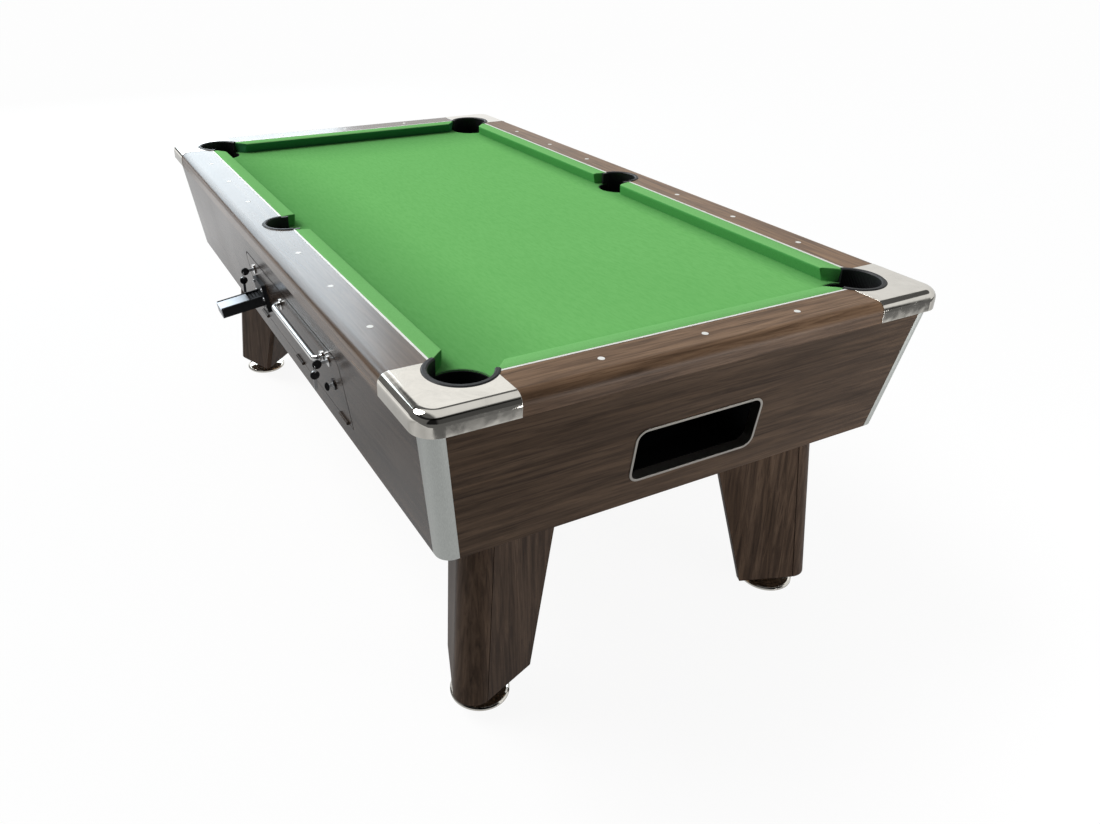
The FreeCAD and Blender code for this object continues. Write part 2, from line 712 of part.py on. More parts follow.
def on_leg(shape, sx, sy):
    shape = shape.copy()
    shape.rotate(V(0, 0, 0), UP, math.degrees(math.atan2(sy, sx)))
    shape.translate(V(sx * LEG_X, sy * LEG_Y, 0))
    return shape


save("leg_bolts", *[on_leg(b, sx, sy) for b in leg_bolts for sx, sy in CORNERS.values()])

floor = inside(CAB_BOTTOM, FLOOR_TOP)
for sx, sy in CORNERS.values():
    notch = Part.Face(post_wire(0, sx, sy)).extrude(V(-sx * CAB_TAPER, -sy * CAB_TAPER, -CAB_DEPTH))
    floor = floor.cut(notch)
    for hole in bolt_holes:
        floor = floor.cut(on_leg(hole, sx, sy))
save("cabinet_floor", floor)

# Legs: a wedge in plan with a rounded nose, raked outwards towards the floor
LEG_HEIGHT = CAB_BOTTOM - LEG_CLEARANCE
SPREAD_COS = math.cos(LEG_SPREAD)
SPREAD_SIN = math.sin(LEG_SPREAD)


def leg_point(along, inward, s, z):
    """A point of a side board: distance from the seam, depth from its face, side and height."""
    drop = (CAB_BOTTOM - z) / LEG_HEIGHT
    u = LEG_RAKE * drop - along * SPREAD_COS - inward * SPREAD_SIN
    return V(u, s * (NOSE_HALF + along * SPREAD_SIN - inward * SPREAD_COS), z)


def board_length(z):
    narrowing = LEG_BOARD_TOP - LEG_BOARD_BOTTOM
    return LEG_BOARD_TOP - narrowing * (CAB_BOTTOM - z) / LEG_HEIGHT


def leg_board(s):
    def quad(z):
        stop = board_length(z)
        return [leg_point(LEG_SEAM, 0, s, z), leg_point(stop, 0, s, z),
                leg_point(stop, LEG_BOARD_THICK, s, z), leg_point(LEG_SEAM, LEG_BOARD_THICK, s, z)]
    return hexa(quad(LEG_CLEARANCE), quad(CAB_BOTTOM))


def leg_fill(z0, z1, start):
    """Fills the space between the side boards from a distance behind the seam back to the back board."""
    def quad(z):
        stop = board_length(z) - LEG_BACK_THICK / SPREAD_COS
        return [leg_point(start, LEG_BOARD_THICK, 1, z), leg_point(stop, LEG_BOARD_THICK, 1, z),
                leg_point(stop, LEG_BOARD_THICK, -1, z), leg_point(start, LEG_BOARD_THICK, -1, z)]
    return hexa(quad(z0), quad(z1))


def leg_back():
    def quad(z):
        end = board_length(z)
        stop = end - LEG_BACK_THICK / SPREAD_COS
        return [leg_point(stop, LEG_BOARD_THICK, 1, z), leg_point(end, LEG_BOARD_THICK, 1, z),
                leg_point(end, LEG_BOARD_THICK, -1, z), leg_point(stop, LEG_BOARD_THICK, -1, z)]
    return hexa(quad(LEG_CLEARANCE), quad(CAB_BOTTOM))


def leg_nose():
    tips = [leg_point(0, 0, s, CAB_BOTTOM) for s in (1, -1)]
    roots = [leg_point(0, LEG_BOARD_THICK, s, CAB_BOTTOM) for s in (-1, 1)]
    edges = [Part.Arc(tips[0], V(NOSE_BULGE, 0, CAB_BOTTOM), tips[1]).toShape()]
    chain = [tips[1], roots[0], roots[1], tips[0]]
    edges += [Part.LineSegment(a, b).toShape() for a, b in zip(chain, chain[1:])]
    return Part.Face(Part.Wire(edges)).extrude(V(LEG_RAKE, 0, -LEG_HEIGHT))


FOOT_U = LEG_RAKE - FOOT_BACK
top_block = leg_fill(CAB_BOTTOM - LEG_TOP_BLOCK, CAB_BOTTOM, 0)
for hole in bolt_holes:
    top_block = top_block.cut(hole)
bore_top = LEG_CLEARANCE + FOOT_BORE_LENGTH
foot_bore = post(FOOT_STEM + PIN_CLEAR, FOOT_U, 0, LEG_CLEARANCE - OVERRUN, bore_top)
bottom_block = leg_fill(LEG_CLEARANCE, LEG_CLEARANCE + LEG_BOTTOM_BLOCK, 0).cut(foot_bore)
LEG = [leg_nose(), leg_board(1), leg_board(-1), leg_back(), top_block, bottom_block]
lip_top = FOOT_RIM + FOOT_LIP
stem_top = LEG_CLEARANCE + FOOT_STEM_LENGTH
foot_profile = [(0, 0), (FOOT_RADIUS - FOOT_BEAD, 0), (FOOT_RADIUS, FOOT_RIM), (FOOT_RADIUS, lip_top),
                (FOOT_RADIUS - FOOT_BEAD, lip_top + FOOT_BEAD),
                (FOOT_RADIUS - FOOT_BEAD - FOOT_LIP, lip_top),
                (FOOT_NECK + FOOT_DISH, lip_top + FOOT_BEAD), (FOOT_NECK, FOOT_DISH + FOOT_LIP),
                (FOOT_NUT, LEG_CLEARANCE - FOOT_DISH + FOOT_LIP), (FOOT_NUT, LEG_CLEARANCE),
                (FOOT_STEM, LEG_CLEARANCE), (FOOT_STEM, stem_top), (0, stem_top)]
FOOT = lathe(foot_profile, FOOT_U, 0, 0, 360)
for name, (sx, sy) in CORNERS.items():
    save("leg_" + name, *[on_leg(piece, sx, sy) for piece in LEG])
    save("foot_" + name, on_leg(FOOT, sx, sy))

# Return: side runs under the pockets, a cross trough at the front and the tray behind the window
RUN_OUT = OUT_X - RUN_INSET
RUN_IN = RUN_OUT - RUN_WIDTH
RUN_END = OUT_Y - RAIL_OVERHANG - RUN_END_INSET
RUN_REAR_LOW = RUN_TOP - RUN_SHALLOW
RUN_FRONT_LOW = RUN_REAR_LOW - RUN_FALL
TROUGH_Y0 = -RUN_END
TROUGH_Y1 = TROUGH_Y0 + TROUGH_WIDTH
TROUGH_LOW = RUN_FRONT_LOW - TROUGH_FALL - TROUGH_FLOOR + RUN_FLOOR
TRAY_TOP = TROUGH_LOW - GATE_THICK - GATE_CLEAR
runs = []
for s in (-1, 1):
    sides = [(TROUGH_Y0, RUN_FRONT_LOW), (RUN_END, RUN_REAR_LOW), (RUN_END, RUN_TOP), (TROUGH_Y0, RUN_TOP)]
    run = prism([V(RUN_IN, y, z) for y, z in sides], V(RUN_WIDTH, 0, 0))
    y0, y1 = TROUGH_Y0 + TROUGH_WALL, RUN_END - TROUGH_WALL
    low, above = RUN_FRONT_LOW + RUN_FLOOR, RUN_TOP + OVERRUN
    sides = [(y0, low), (y1, RUN_REAR_LOW + RUN_FLOOR), (y1, above), (y0, above)]
    channel = [V(RUN_IN + TROUGH_WALL, y, z) for y, z in sides]
    run = run.cut(prism(channel, V(RUN_WIDTH - 2 * TROUGH_WALL, 0, 0)))
    run = run.cut(block(RUN_IN - OVERRUN, RUN_IN + OVERRUN, y0, TROUGH_Y1 - TROUGH_WALL, low, above))
    runs.append(flip_x(run) if s < 0 else run)

trough = block(-RUN_IN, RUN_IN, TROUGH_Y0, TROUGH_Y1, TROUGH_LOW, RUN_TOP)
hole = TROUGH_HOLE / 2
high, low, sump = RUN_TOP + OVERRUN, RUN_FRONT_LOW + RUN_FLOOR, TROUGH_LOW + TROUGH_FLOOR
fall = [(-RUN_IN - OVERRUN, high), (RUN_IN + OVERRUN, high), (RUN_IN + OVERRUN, low), (RUN_IN, low),
        (hole, sump), (hole, TROUGH_LOW - OVERRUN), (-hole, TROUGH_LOW - OVERRUN), (-hole, sump),
        (-RUN_IN, low), (-RUN_IN - OVERRUN, low)]
channel = [V(x, TROUGH_Y0 + TROUGH_WALL, z) for x, z in fall]
trough = trough.cut(prism(channel, V(0, TROUGH_WIDTH - 2 * TROUGH_WALL, 0)))
TRAY_HALF = half_window + TRAY_MARGIN + TRAY_WALL
for y in (TROUGH_Y0, TROUGH_Y1 - GATE_RIB):
    trough = trough.fuse(block(-TRAY_HALF - RIB_REACH, TRAY_HALF, y, y + GATE_RIB, TRAY_TOP, TROUGH_LOW))
save("return_runs", *runs, trough.removeSplitter())

TRAY_Y1 = TROUGH_Y1 + TROUGH_WALL
tray = block(-TRAY_HALF, TRAY_HALF, -OUT_Y, TRAY_Y1, FLOOR_TOP, TRAY_TOP)
tray = tray.common(inside(CAB_BOTTOM, CAB_TOP))
inner = TRAY_HALF - TRAY_WALL
bowl = [(TRAY_Y1 - TRAY_WALL, TRAY_TOP + OVERRUN), (TRAY_Y1 - TRAY_WALL, FLOOR_TOP + TRAY_FLOOR + TRAY_FALL),
        (-OUT_Y, FLOOR_TOP + TRAY_FLOOR), (-OUT_Y, TRAY_TOP + OVERRUN)]
tray = tray.cut(prism([V(-inner, y, z) for y, z in bowl], V(2 * inner, 0, 0)))
save("return_tray", tray)

# Access door and the coin-side panel that it closes
DOOR_U0 = -DOOR_LEFT
DOOR_U1 = DOOR_U0 + DOOR_WIDTH
DOOR_V1 = PANEL_RISE - DOOR_DROP
DOOR_V0 = DOOR_V1 - DOOR_HEIGHT
HINGE_V = DOOR_V0 - DOOR_SILL_GAP / 2
hinge_starts = [DOOR_U0 + HINGE_INSET, (DOOR_U0 + DOOR_U1 - HINGE_LENGTH) / 2,
                DOOR_U1 - HINGE_INSET - HINGE_LENGTH]
door = slab(DOOR_U0, DOOR_U1, DOOR_V0, DOOR_V1, -PANEL_DEEP, 0, 0, DOOR_ROUND)
opening = slab(DOOR_U0 - DOOR_GAP, DOOR_U1 + DOOR_GAP, DOOR_V0 - DOOR_SILL_GAP, DOOR_V1 + DOOR_GAP,
               -PANEL_DEEP - OVERRUN, OVERRUN, 0, DOOR_ROUND + DOOR_GAP)
coin_panel = side_panel(-1).cut(lay(opening, COIN_SIDE))
leaf_back = HINGE_PROUD - LEAF_DEPTH
LEAF_FRONT = HINGE_PROUD - HINGE_KNUCKLE - HINGE_CLEAR - HINGE_SIDE_GAP
door_hinges, cabinet_hinges = [], []
for u in hinge_starts:
    third = HINGE_LENGTH / 3
    axis = [V(u + n * third, HINGE_V, HINGE_PROUD) for n in range(4)]
    slack = V(HINGE_CLEAR, 0, 0)
    pocket = rod(HINGE_KNUCKLE + HINGE_CLEAR, axis[0] - slack, axis[3] + slack)
    low_v, high_v = HINGE_V - LEAF_GAP / 2, HINGE_V + LEAF_GAP / 2
    low_leaf = block(u, u + HINGE_LENGTH, low_v - LEAF_THICK, low_v, leaf_back, LEAF_FRONT)
    high_leaf = block(u, u + HINGE_LENGTH, high_v, high_v + LEAF_THICK, leaf_back, LEAF_FRONT)
    mouth = V(0, 0, HINGE_PROUD - LEAF_FRONT)
    door = door.cut(pocket).cut(high_leaf).cut(high_leaf.translated(mouth))
    coin_panel = coin_panel.cut(lay(pocket.fuse(low_leaf).fuse(low_leaf.translated(mouth)), COIN_SIDE))
    gap = V(HINGE_SIDE_GAP, 0, 0)
    bore = rod(HINGE_PIN + PIN_CLEAR, axis[0] - slack, axis[3] + slack)
    middle = rod(HINGE_KNUCKLE, axis[1] + gap, axis[2] - gap)
    tongue = block(u + third + HINGE_SIDE_GAP, u + 2 * third - HINGE_SIDE_GAP,
                   high_v, high_v + LEAF_THICK, LEAF_FRONT, HINGE_PROUD)
    door_hinges.append(high_leaf.fuse(tongue).fuse(middle).cut(bore).removeSplitter())
    fixed = low_leaf.fuse(rod(HINGE_PIN, axis[0], axis[3]))
    for n in (0, 2):
        ear = block(u + n * third, u + (n + 1) * third, low_v - LEAF_THICK, low_v, LEAF_FRONT, HINGE_PROUD)
        fixed = fixed.fuse(rod(HINGE_KNUCKLE, axis[n], axis[n + 1])).fuse(ear)
    cabinet_hinges.append(fixed.removeSplitter())
save("coin_side_panel", coin_panel)
save("door_hinge_leaves", *[lay(h, COIN_SIDE) for h in door_hinges])
save("cabinet_hinge_leaves", *[lay(h, COIN_SIDE) for h in cabinet_hinges])

# Coin housing: a flange on the door with a guide behind it
COIN_U = DOOR_U0 + COIN_INSET
SLIDE_V0 = DOOR_V0 + COIN_RISE
SLIDE_V1 = SLIDE_V0 + SLIDE_HEIGHT
half_slide = SLIDE_WIDTH / 2
way = half_slide + SLIDE_CLEAR
guide = way + HOUSING_WALL
FLANGE_V0 = DOOR_V0 + FLANGE_RISE
FLANGE_V1 = FLANGE_V0 + FLANGE_HEIGHT
half_flange = FLANGE_WIDTH / 2
housing = slab(COIN_U - half_flange, COIN_U + half_flange, FLANGE_V0, FLANGE_V1, 0, FLANGE_THICK,
               FLANGE_ROUND, FLANGE_ROUND)
lower = SLIDE_V0 - SLIDE_CLEAR
upper = SLIDE_V1 + SLIDE_CLEAR
low, high = lower - HOUSING_WALL, upper + HOUSING_WALL
housing = housing.fuse(block(COIN_U - guide, COIN_U + guide, low, high, -HOUSING_LENGTH, 0))
housing = housing.cut(block(COIN_U - way, COIN_U + way, lower, upper,
                            -HOUSING_LENGTH - OVERRUN, FLANGE_THICK + OVERRUN))
save("coin_housing", lay(housing.removeSplitter(), COIN_SIDE))
room = guide + SLIDE_CLEAR
door = door.cut(block(COIN_U - room, COIN_U + room, low - SLIDE_CLEAR, high + SLIDE_CLEAR,
                      -PANEL_DEEP - OVERRUN, OVERRUN))

# Coin slide: a black bar with raised rims, slots near the flange and a steel plate over its end
SLIDE_OUT = FLANGE_THICK + SLIDE_REACH - SLIDE_END
SLIDE_IN = -SLIDE_TAIL
slide_u0, slide_u1 = COIN_U - half_slide, COIN_U + half_slide
slide = block(slide_u0, slide_u1, SLIDE_V0, SLIDE_V1, SLIDE_IN, SLIDE_OUT)
bed_u0, bed_u1 = slide_u0 + SLIDE_RIM, slide_u1 - SLIDE_RIM
bed_v, above = SLIDE_V1 - SLIDE_RECESS, SLIDE_V1 + OVERRUN
slide = slide.cut(block(bed_u0, bed_u1, bed_v, above, SLIDE_IN - OVERRUN, SLIDE_OUT + OVERRUN))
pitch = SLIDE_DARK / SLIDE_SLOTS
for n in range(SLIDE_SLOTS):
    w0 = FLANGE_THICK + (n + 1 / 2) * pitch - SLIDE_SLOT_WIDTH / 2
    slide = slide.cut(block(bed_u0, bed_u1, bed_v - SLIDE_SLOT_DEPTH, above, w0, w0 + SLIDE_SLOT_WIDTH))
tail_v = SLIDE_V1 - TAIL_DROP
half_tail = TAIL_WIDTH / 2
tail = block(COIN_U - half_tail, COIN_U + half_tail, tail_v - TAIL_HEIGHT, tail_v, -TAIL_END, SLIDE_IN)
save("coin_slide", lay(slide.fuse(tail).removeSplitter(), COIN_SIDE))
plate_v = bed_v + SLIDE_PLATE
plate = block(bed_u0, bed_u1, bed_v, plate_v, FLANGE_THICK + SLIDE_DARK, SLIDE_OUT)
plate = plate.fuse(block(slide_u0, slide_u1, SLIDE_V0, plate_v, SLIDE_OUT, SLIDE_OUT + SLIDE_END))
save("coin_slide_plate", lay(plate.removeSplitter(), COIN_SIDE))

# Bow handle on two round roses
HANDLE_U0 = DOOR_U0 + HANDLE_INSET
HANDLE_U1 = HANDLE_U0 + HANDLE_SPAN
HANDLE_V = DOOR_V0 + HANDLE_RISE
bend_w = HANDLE_STAND - HANDLE_BEND
bar = rod(HANDLE_BAR, V(HANDLE_U0 + HANDLE_BEND, HANDLE_V, HANDLE_STAND),
          V(HANDLE_U1 - HANDLE_BEND, HANDLE_V, HANDLE_STAND))
for u, side in ((HANDLE_U0, 1), (HANDLE_U1, -1)):
    foot, shoulder = V(u, HANDLE_V, 0), V(u, HANDLE_V, bend_w)
    section = Part.Face(Part.Wire(Part.makeCircle(HANDLE_BAR, shoulder, UP)))
    bend = section.revolve(shoulder + V(side * HANDLE_BEND, 0, 0), V(0, side, 0), 90)
    bar = bar.fuse(bend).fuse(rod(HANDLE_BAR, foot, shoulder))
    bar = bar.fuse(rod(HANDLE_ROSE, foot, V(u, HANDLE_V, HANDLE_ROSE_THICK)))
save("door_handle", lay(bar.removeSplitter(), COIN_SIDE))

# Locks: barrels in the door, plugs that carry the key outside and a cam inside
LOCKS = [(DOOR_U0 + LOCK_EDGE, DOOR_V0 + LOCK_RISE, -1, CAM_LENGTH),
         (DOOR_U1 - LOCK_FAR_EDGE, DOOR_V0 + LOCK_RISE, 1, CAM_LENGTH),
         (DOOR_U1 - LOCK_FAR_EDGE, DOOR_V0 + LOCK_LOW_RISE, -1, CAM_LONG)]
BARREL_IN = -PANEL_DEEP - BARREL_BACK
PLUG_IN = BARREL_IN - CAM_GAP - CAM_THICK
BOW_W = BARREL_PROUD + BLADE_LENGTH + BOW_RADIUS
HOLE_W = BOW_W + BOW_RADIUS - BOW_HOLE_EDGE - BOW_HOLE
barrels = []
for n, (u, v, side, cam) in enumerate(LOCKS):
    door = door.cut(post(BARREL_RADIUS + PIN_CLEAR, u, v, -PANEL_DEEP - OVERRUN, OVERRUN))
    barrel = post(BARREL_RADIUS, u, v, BARREL_IN, 0).fuse(post(BARREL_FACE, u, v, 0, BARREL_PROUD))
    barrel = barrel.cut(post(PLUG_RADIUS + PIN_CLEAR, u, v, BARREL_IN - OVERRUN, OVERRUN))
    barrels.append(lay(barrel, COIN_SIDE))
    plug = post(PLUG_RADIUS, u, v, PLUG_IN, BARREL_PROUD + PLUG_PROUD)
    a, b = sorted((u, u + side * cam))
    plug = plug.fuse(block(a, b, v - CAM_WIDTH / 2, v + CAM_WIDTH / 2, PLUG_IN, PLUG_IN + CAM_THICK))
    low = n == 2
    reach = BARREL_PROUD + (LOW_BLADE if low else BLADE_LENGTH) + BOW_RADIUS / 2
    half, tall = BLADE_THICK / 2, BLADE_WIDTH / 2
    blade = block(u - half, u + half, v - tall, v + tall, 0, reach)
    if low:
        centre = V(u - BOW_THICK / 2, v, BARREL_PROUD + LOW_BLADE + LOW_BOW)
        stretch = FreeCAD.Matrix()
        stretch.scale(1, 1, LOW_BOW / BOW_RADIUS)
        bow = rod(BOW_RADIUS, V(0, 0, 0), V(BOW_THICK, 0, 0)).transformGeometry(stretch)
        bow.translate(centre)
    else:
        centre = V(u - BOW_THICK / 2, v, BOW_W)
        bow = rod(BOW_RADIUS, centre, centre + V(BOW_THICK, 0, 0))
        eye = V(u - BOW_THICK, v, HOLE_W)
        bow = bow.cut(rod(BOW_HOLE, eye, eye + V(2 * BOW_THICK, 0, 0)))
    save("lock_key_%d" % (n + 1), lay(plug.fuse(blade).fuse(bow).removeSplitter(), COIN_SIDE))
save("lock_barrels", *barrels)
save("access_door", lay(door, COIN_SIDE))

# Spare keys hang straight down from a ring in the bow
for n, (u, v, side, cam) in enumerate(LOCKS[:2]):
    pivot = COIN_SIDE.multVec(V(u, v, HOLE_W))
    hub = pivot - V(0, 0, RING_RADIUS)
    turns = [2 * math.pi * i / RING_SIDES for i in range(RING_SIDES)]
    wire = face([pivot + V(RING_WIRE * math.sin(t), 0, RING_WIRE * math.cos(t)) for t in turns])
    ring = wire.revolve(hub, V(1, 0, 0), 360)
    eye = pivot - V(0, 0, 2 * RING_RADIUS)
    centre = eye - V(0, BOW_THICK / 2, BOW_RADIUS - BOW_HOLE_EDGE - BOW_HOLE)
    bow = rod(BOW_RADIUS, centre, centre + V(0, BOW_THICK, 0))
    tip = centre.z - BOW_RADIUS - SPARE_BLADE
    half, wide = BLADE_THICK / 2, BLADE_WIDTH / 2
    bow = bow.fuse(block(eye.x - wide, eye.x + wide, eye.y - half, eye.y + half, tip, centre.z))
    bow = bow.cut(rod(BOW_HOLE, eye - V(0, BOW_THICK, 0), eye + V(0, BOW_THICK, 0)))
    save("spare_key_%d" % (n + 1), ring, bow.removeSplitter())

# Release shaft: the slide's tail pushes one arm, the other arm pushes the gate
tail_tip = COIN_SIDE.multVec(V(COIN_U, tail_v - TAIL_HEIGHT / 2, -TAIL_END))
SHAFT_X = tail_tip.x + PUSH_GAP + ROLLER_RADIUS + SLIDE_TRAVEL / 2
SHAFT_Z = FLOOR_TOP + SHAFT_RISE
gate_top = TRAY_TOP + GATE_THICK
push_height = tail_tip.z + SLIDE_TRAVEL * LEAN_SIN / 2 - SHAFT_Z
SWING = math.atan(SLIDE_TRAVEL / 2 / push_height)
PUSH_ARM = push_height / math.cos(SWING)
GATE_ARM = (gate_top - SHAFT_Z) / math.cos(SWING)
GATE_Y = TROUGH_Y1 + GATE_ARM_GAP + ROLLER_LENGTH / 2
SHAFT_REAR = -COIN_U + SHAFT_END
SHAFT_FRONT = GATE_Y - SHAFT_OVERHANG
shaft = rod(SHAFT_RADIUS, V(SHAFT_X, SHAFT_FRONT, SHAFT_Z), V(SHAFT_X, SHAFT_REAR, SHAFT_Z))
for y, length in ((-COIN_U, PUSH_ARM), (GATE_Y, GATE_ARM)):
    half, deep = ARM_WIDTH / 2, ARM_THICK / 2
    arm = block(SHAFT_X - half, SHAFT_X + half, y - deep, y + deep, SHAFT_Z, SHAFT_Z + length)
    end, side = V(SHAFT_X, y, SHAFT_Z + length), V(0, ROLLER_LENGTH / 2, 0)
    arm = arm.fuse(rod(ROLLER_RADIUS, end - side, end + side))
    arm.rotate(V(SHAFT_X, y, SHAFT_Z), V(0, 1, 0), -math.degrees(SWING))
    shaft = shaft.fuse(arm)
save("release_shaft", shaft.removeSplitter())
brackets = []
for y in (-COIN_U + BRACKET_SPACE, GATE_Y + BRACKET_SPACE):
    half, deep = BRACKET_WIDTH / 2, BRACKET_THICK / 2
    stand = block(SHAFT_X - half, SHAFT_X + half, y - deep, y + deep, FLOOR_TOP, SHAFT_Z + BRACKET_ABOVE)
    bore = rod(SHAFT_RADIUS + PIN_CLEAR, V(SHAFT_X, y - OVERRUN, SHAFT_Z), V(SHAFT_X, y + OVERRUN, SHAFT_Z))
    brackets.append(stand.cut(bore))
save("release_brackets", *brackets)

# Gate: a slotted plate under the trough, pushed aside by the second arm
gate_y0 = TROUGH_Y0 + GATE_RIB + GATE_CLEAR
gate_y1 = TROUGH_Y1 - GATE_RIB - GATE_CLEAR
tab_x = SHAFT_X - GATE_ARM * math.sin(SWING) + ROLLER_RADIUS + PUSH_GAP
neck_y0, neck_y1 = GATE_Y - ROLLER_LENGTH / 2, GATE_Y - ROLLER_LENGTH / 2 + GATE_NECK
gate = block(tab_x, hole + GATE_LAND, gate_y0, gate_y1, TRAY_TOP, gate_top)
slot_x = -hole - GATE_LAND
gate = gate.cut(block(slot_x - GATE_SLOT, slot_x, gate_y0 + GATE_RIB, gate_y1 - GATE_RIB,
                      TRAY_TOP - OVERRUN, gate_top + OVERRUN))
gate = gate.fuse(block(tab_x, tab_x + NECK_LENGTH, gate_y1 - GATE_RIB, neck_y1, TRAY_TOP, gate_top))
gate = gate.fuse(block(tab_x, tab_x + GATE_TAB_THICK, neck_y0, neck_y1, TRAY_TOP, gate_top + GATE_TAB_RISE))
save("ball_gate", gate.removeSplitter())
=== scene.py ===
"""Coin-operated pool table: cloth, cushions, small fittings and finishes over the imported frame."""

from __future__ import annotations

import logging
import math
from dataclasses import dataclass, field, replace
from enum import Enum
from typing import Callable, Optional, Sequence, Union

import bmesh
import bpy
from mathutils import Matrix, Vector
from mathutils.geometry import delaunay_2d_cdt


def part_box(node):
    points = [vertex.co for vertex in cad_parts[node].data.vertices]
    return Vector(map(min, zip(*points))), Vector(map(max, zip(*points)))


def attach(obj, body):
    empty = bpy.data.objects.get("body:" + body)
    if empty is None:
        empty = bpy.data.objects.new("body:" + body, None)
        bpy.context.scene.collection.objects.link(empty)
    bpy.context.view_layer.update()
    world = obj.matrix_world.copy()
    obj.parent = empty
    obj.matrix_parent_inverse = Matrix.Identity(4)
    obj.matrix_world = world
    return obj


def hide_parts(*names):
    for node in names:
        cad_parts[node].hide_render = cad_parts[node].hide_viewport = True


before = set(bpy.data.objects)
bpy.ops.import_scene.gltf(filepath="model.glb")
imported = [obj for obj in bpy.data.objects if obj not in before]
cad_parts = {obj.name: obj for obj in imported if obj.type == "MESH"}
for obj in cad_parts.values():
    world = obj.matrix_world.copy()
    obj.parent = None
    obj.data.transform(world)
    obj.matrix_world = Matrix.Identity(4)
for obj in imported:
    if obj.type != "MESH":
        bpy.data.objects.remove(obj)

LOG = logging.getLogger("pool_table")
Colour = tuple[float, float, float]
Triple = tuple[float, float, float]
Pair = tuple[float, float]
Pairs = tuple[Pair, ...]
Strips = tuple[tuple[str, float, float], ...]
Socket = bpy.types.NodeSocket
Feed = Union[Socket, float, Colour]
Picker = Callable[[Vector, Vector], bool]
WHITE: Colour = (1.0, 1.0, 1.0)
CORNERS = ("front_coin", "front_plain", "rear_coin", "rear_plain")
# Points nearer than this, in metres, are joined.
WELD = 1e-6
# Decimals of a metre that are kept of a size from the frame.
DECIMALS = 6
# Factor on the coordinate along a board's grain, which draws the figure out.
GRAIN_DRAW = 0.045


def screen(red: int, green: int, blue: int) -> Colour:
    """Turns a colour as seen on screen, 0 to 255, into a linear one by the standard screen curve."""
    shares = [value / 255 for value in (red, green, blue)]
    return tuple(c / 12.92 if c <= 0.04045 else ((c + 0.055) / 1.055) ** 2.4 for c in shares)


def scaled(colour: Colour, factor: float, lift: float = 0.0) -> Colour:
    """Scales a colour and lifts it, up to white."""
    return tuple(min(1.0, factor * c + lift) for c in colour)


def sides(node: str) -> list[Triple]:
    """Gives the lowest and highest corners of a frame node."""
    return [tuple(round(value, DECIMALS) for value in corner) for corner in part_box(node)]


class Grain(Enum):
    """The direction that a board's grain runs in."""

    WIDTH = (GRAIN_DRAW, 1.0, 1.0)
    LENGTH = (1.0, GRAIN_DRAW, 1.0)
    HEIGHT = (1.0, 1.0, GRAIN_DRAW)


class Blend(Enum):
    """How one colour goes over another."""

    OVER = "MIX"
    DARKEN = "MULTIPLY"


class Way(Enum):
    """How numbers are worked into one."""

    LARGEST = "MAXIMUM"
    PRODUCT = "MULTIPLY"
    POWER = "POWER"
    WAVE = "SINE"


class Space(Enum):
    """What coordinates are counted from."""

    OBJECT = "Object"
    DIRECTION = "Generated"


class Ray(Enum):
    """Rays that see the pale backdrop itself."""

    CAMERA = "Is Camera Ray"
    GLOSSY = "Is Glossy Ray"
    TRANSMISSION = "Is Transmission Ray"


class Outward(Enum):
    """The way that a panel's outside faces."""

    FRONT = (0.0, -1.0, 0.0)
    REAR = (0.0, 1.0, 0.0)
    COIN_SIDE = (-1.0, 0.0, 0.0)
    PLAIN_SIDE = (1.0, 0.0, 0.0)


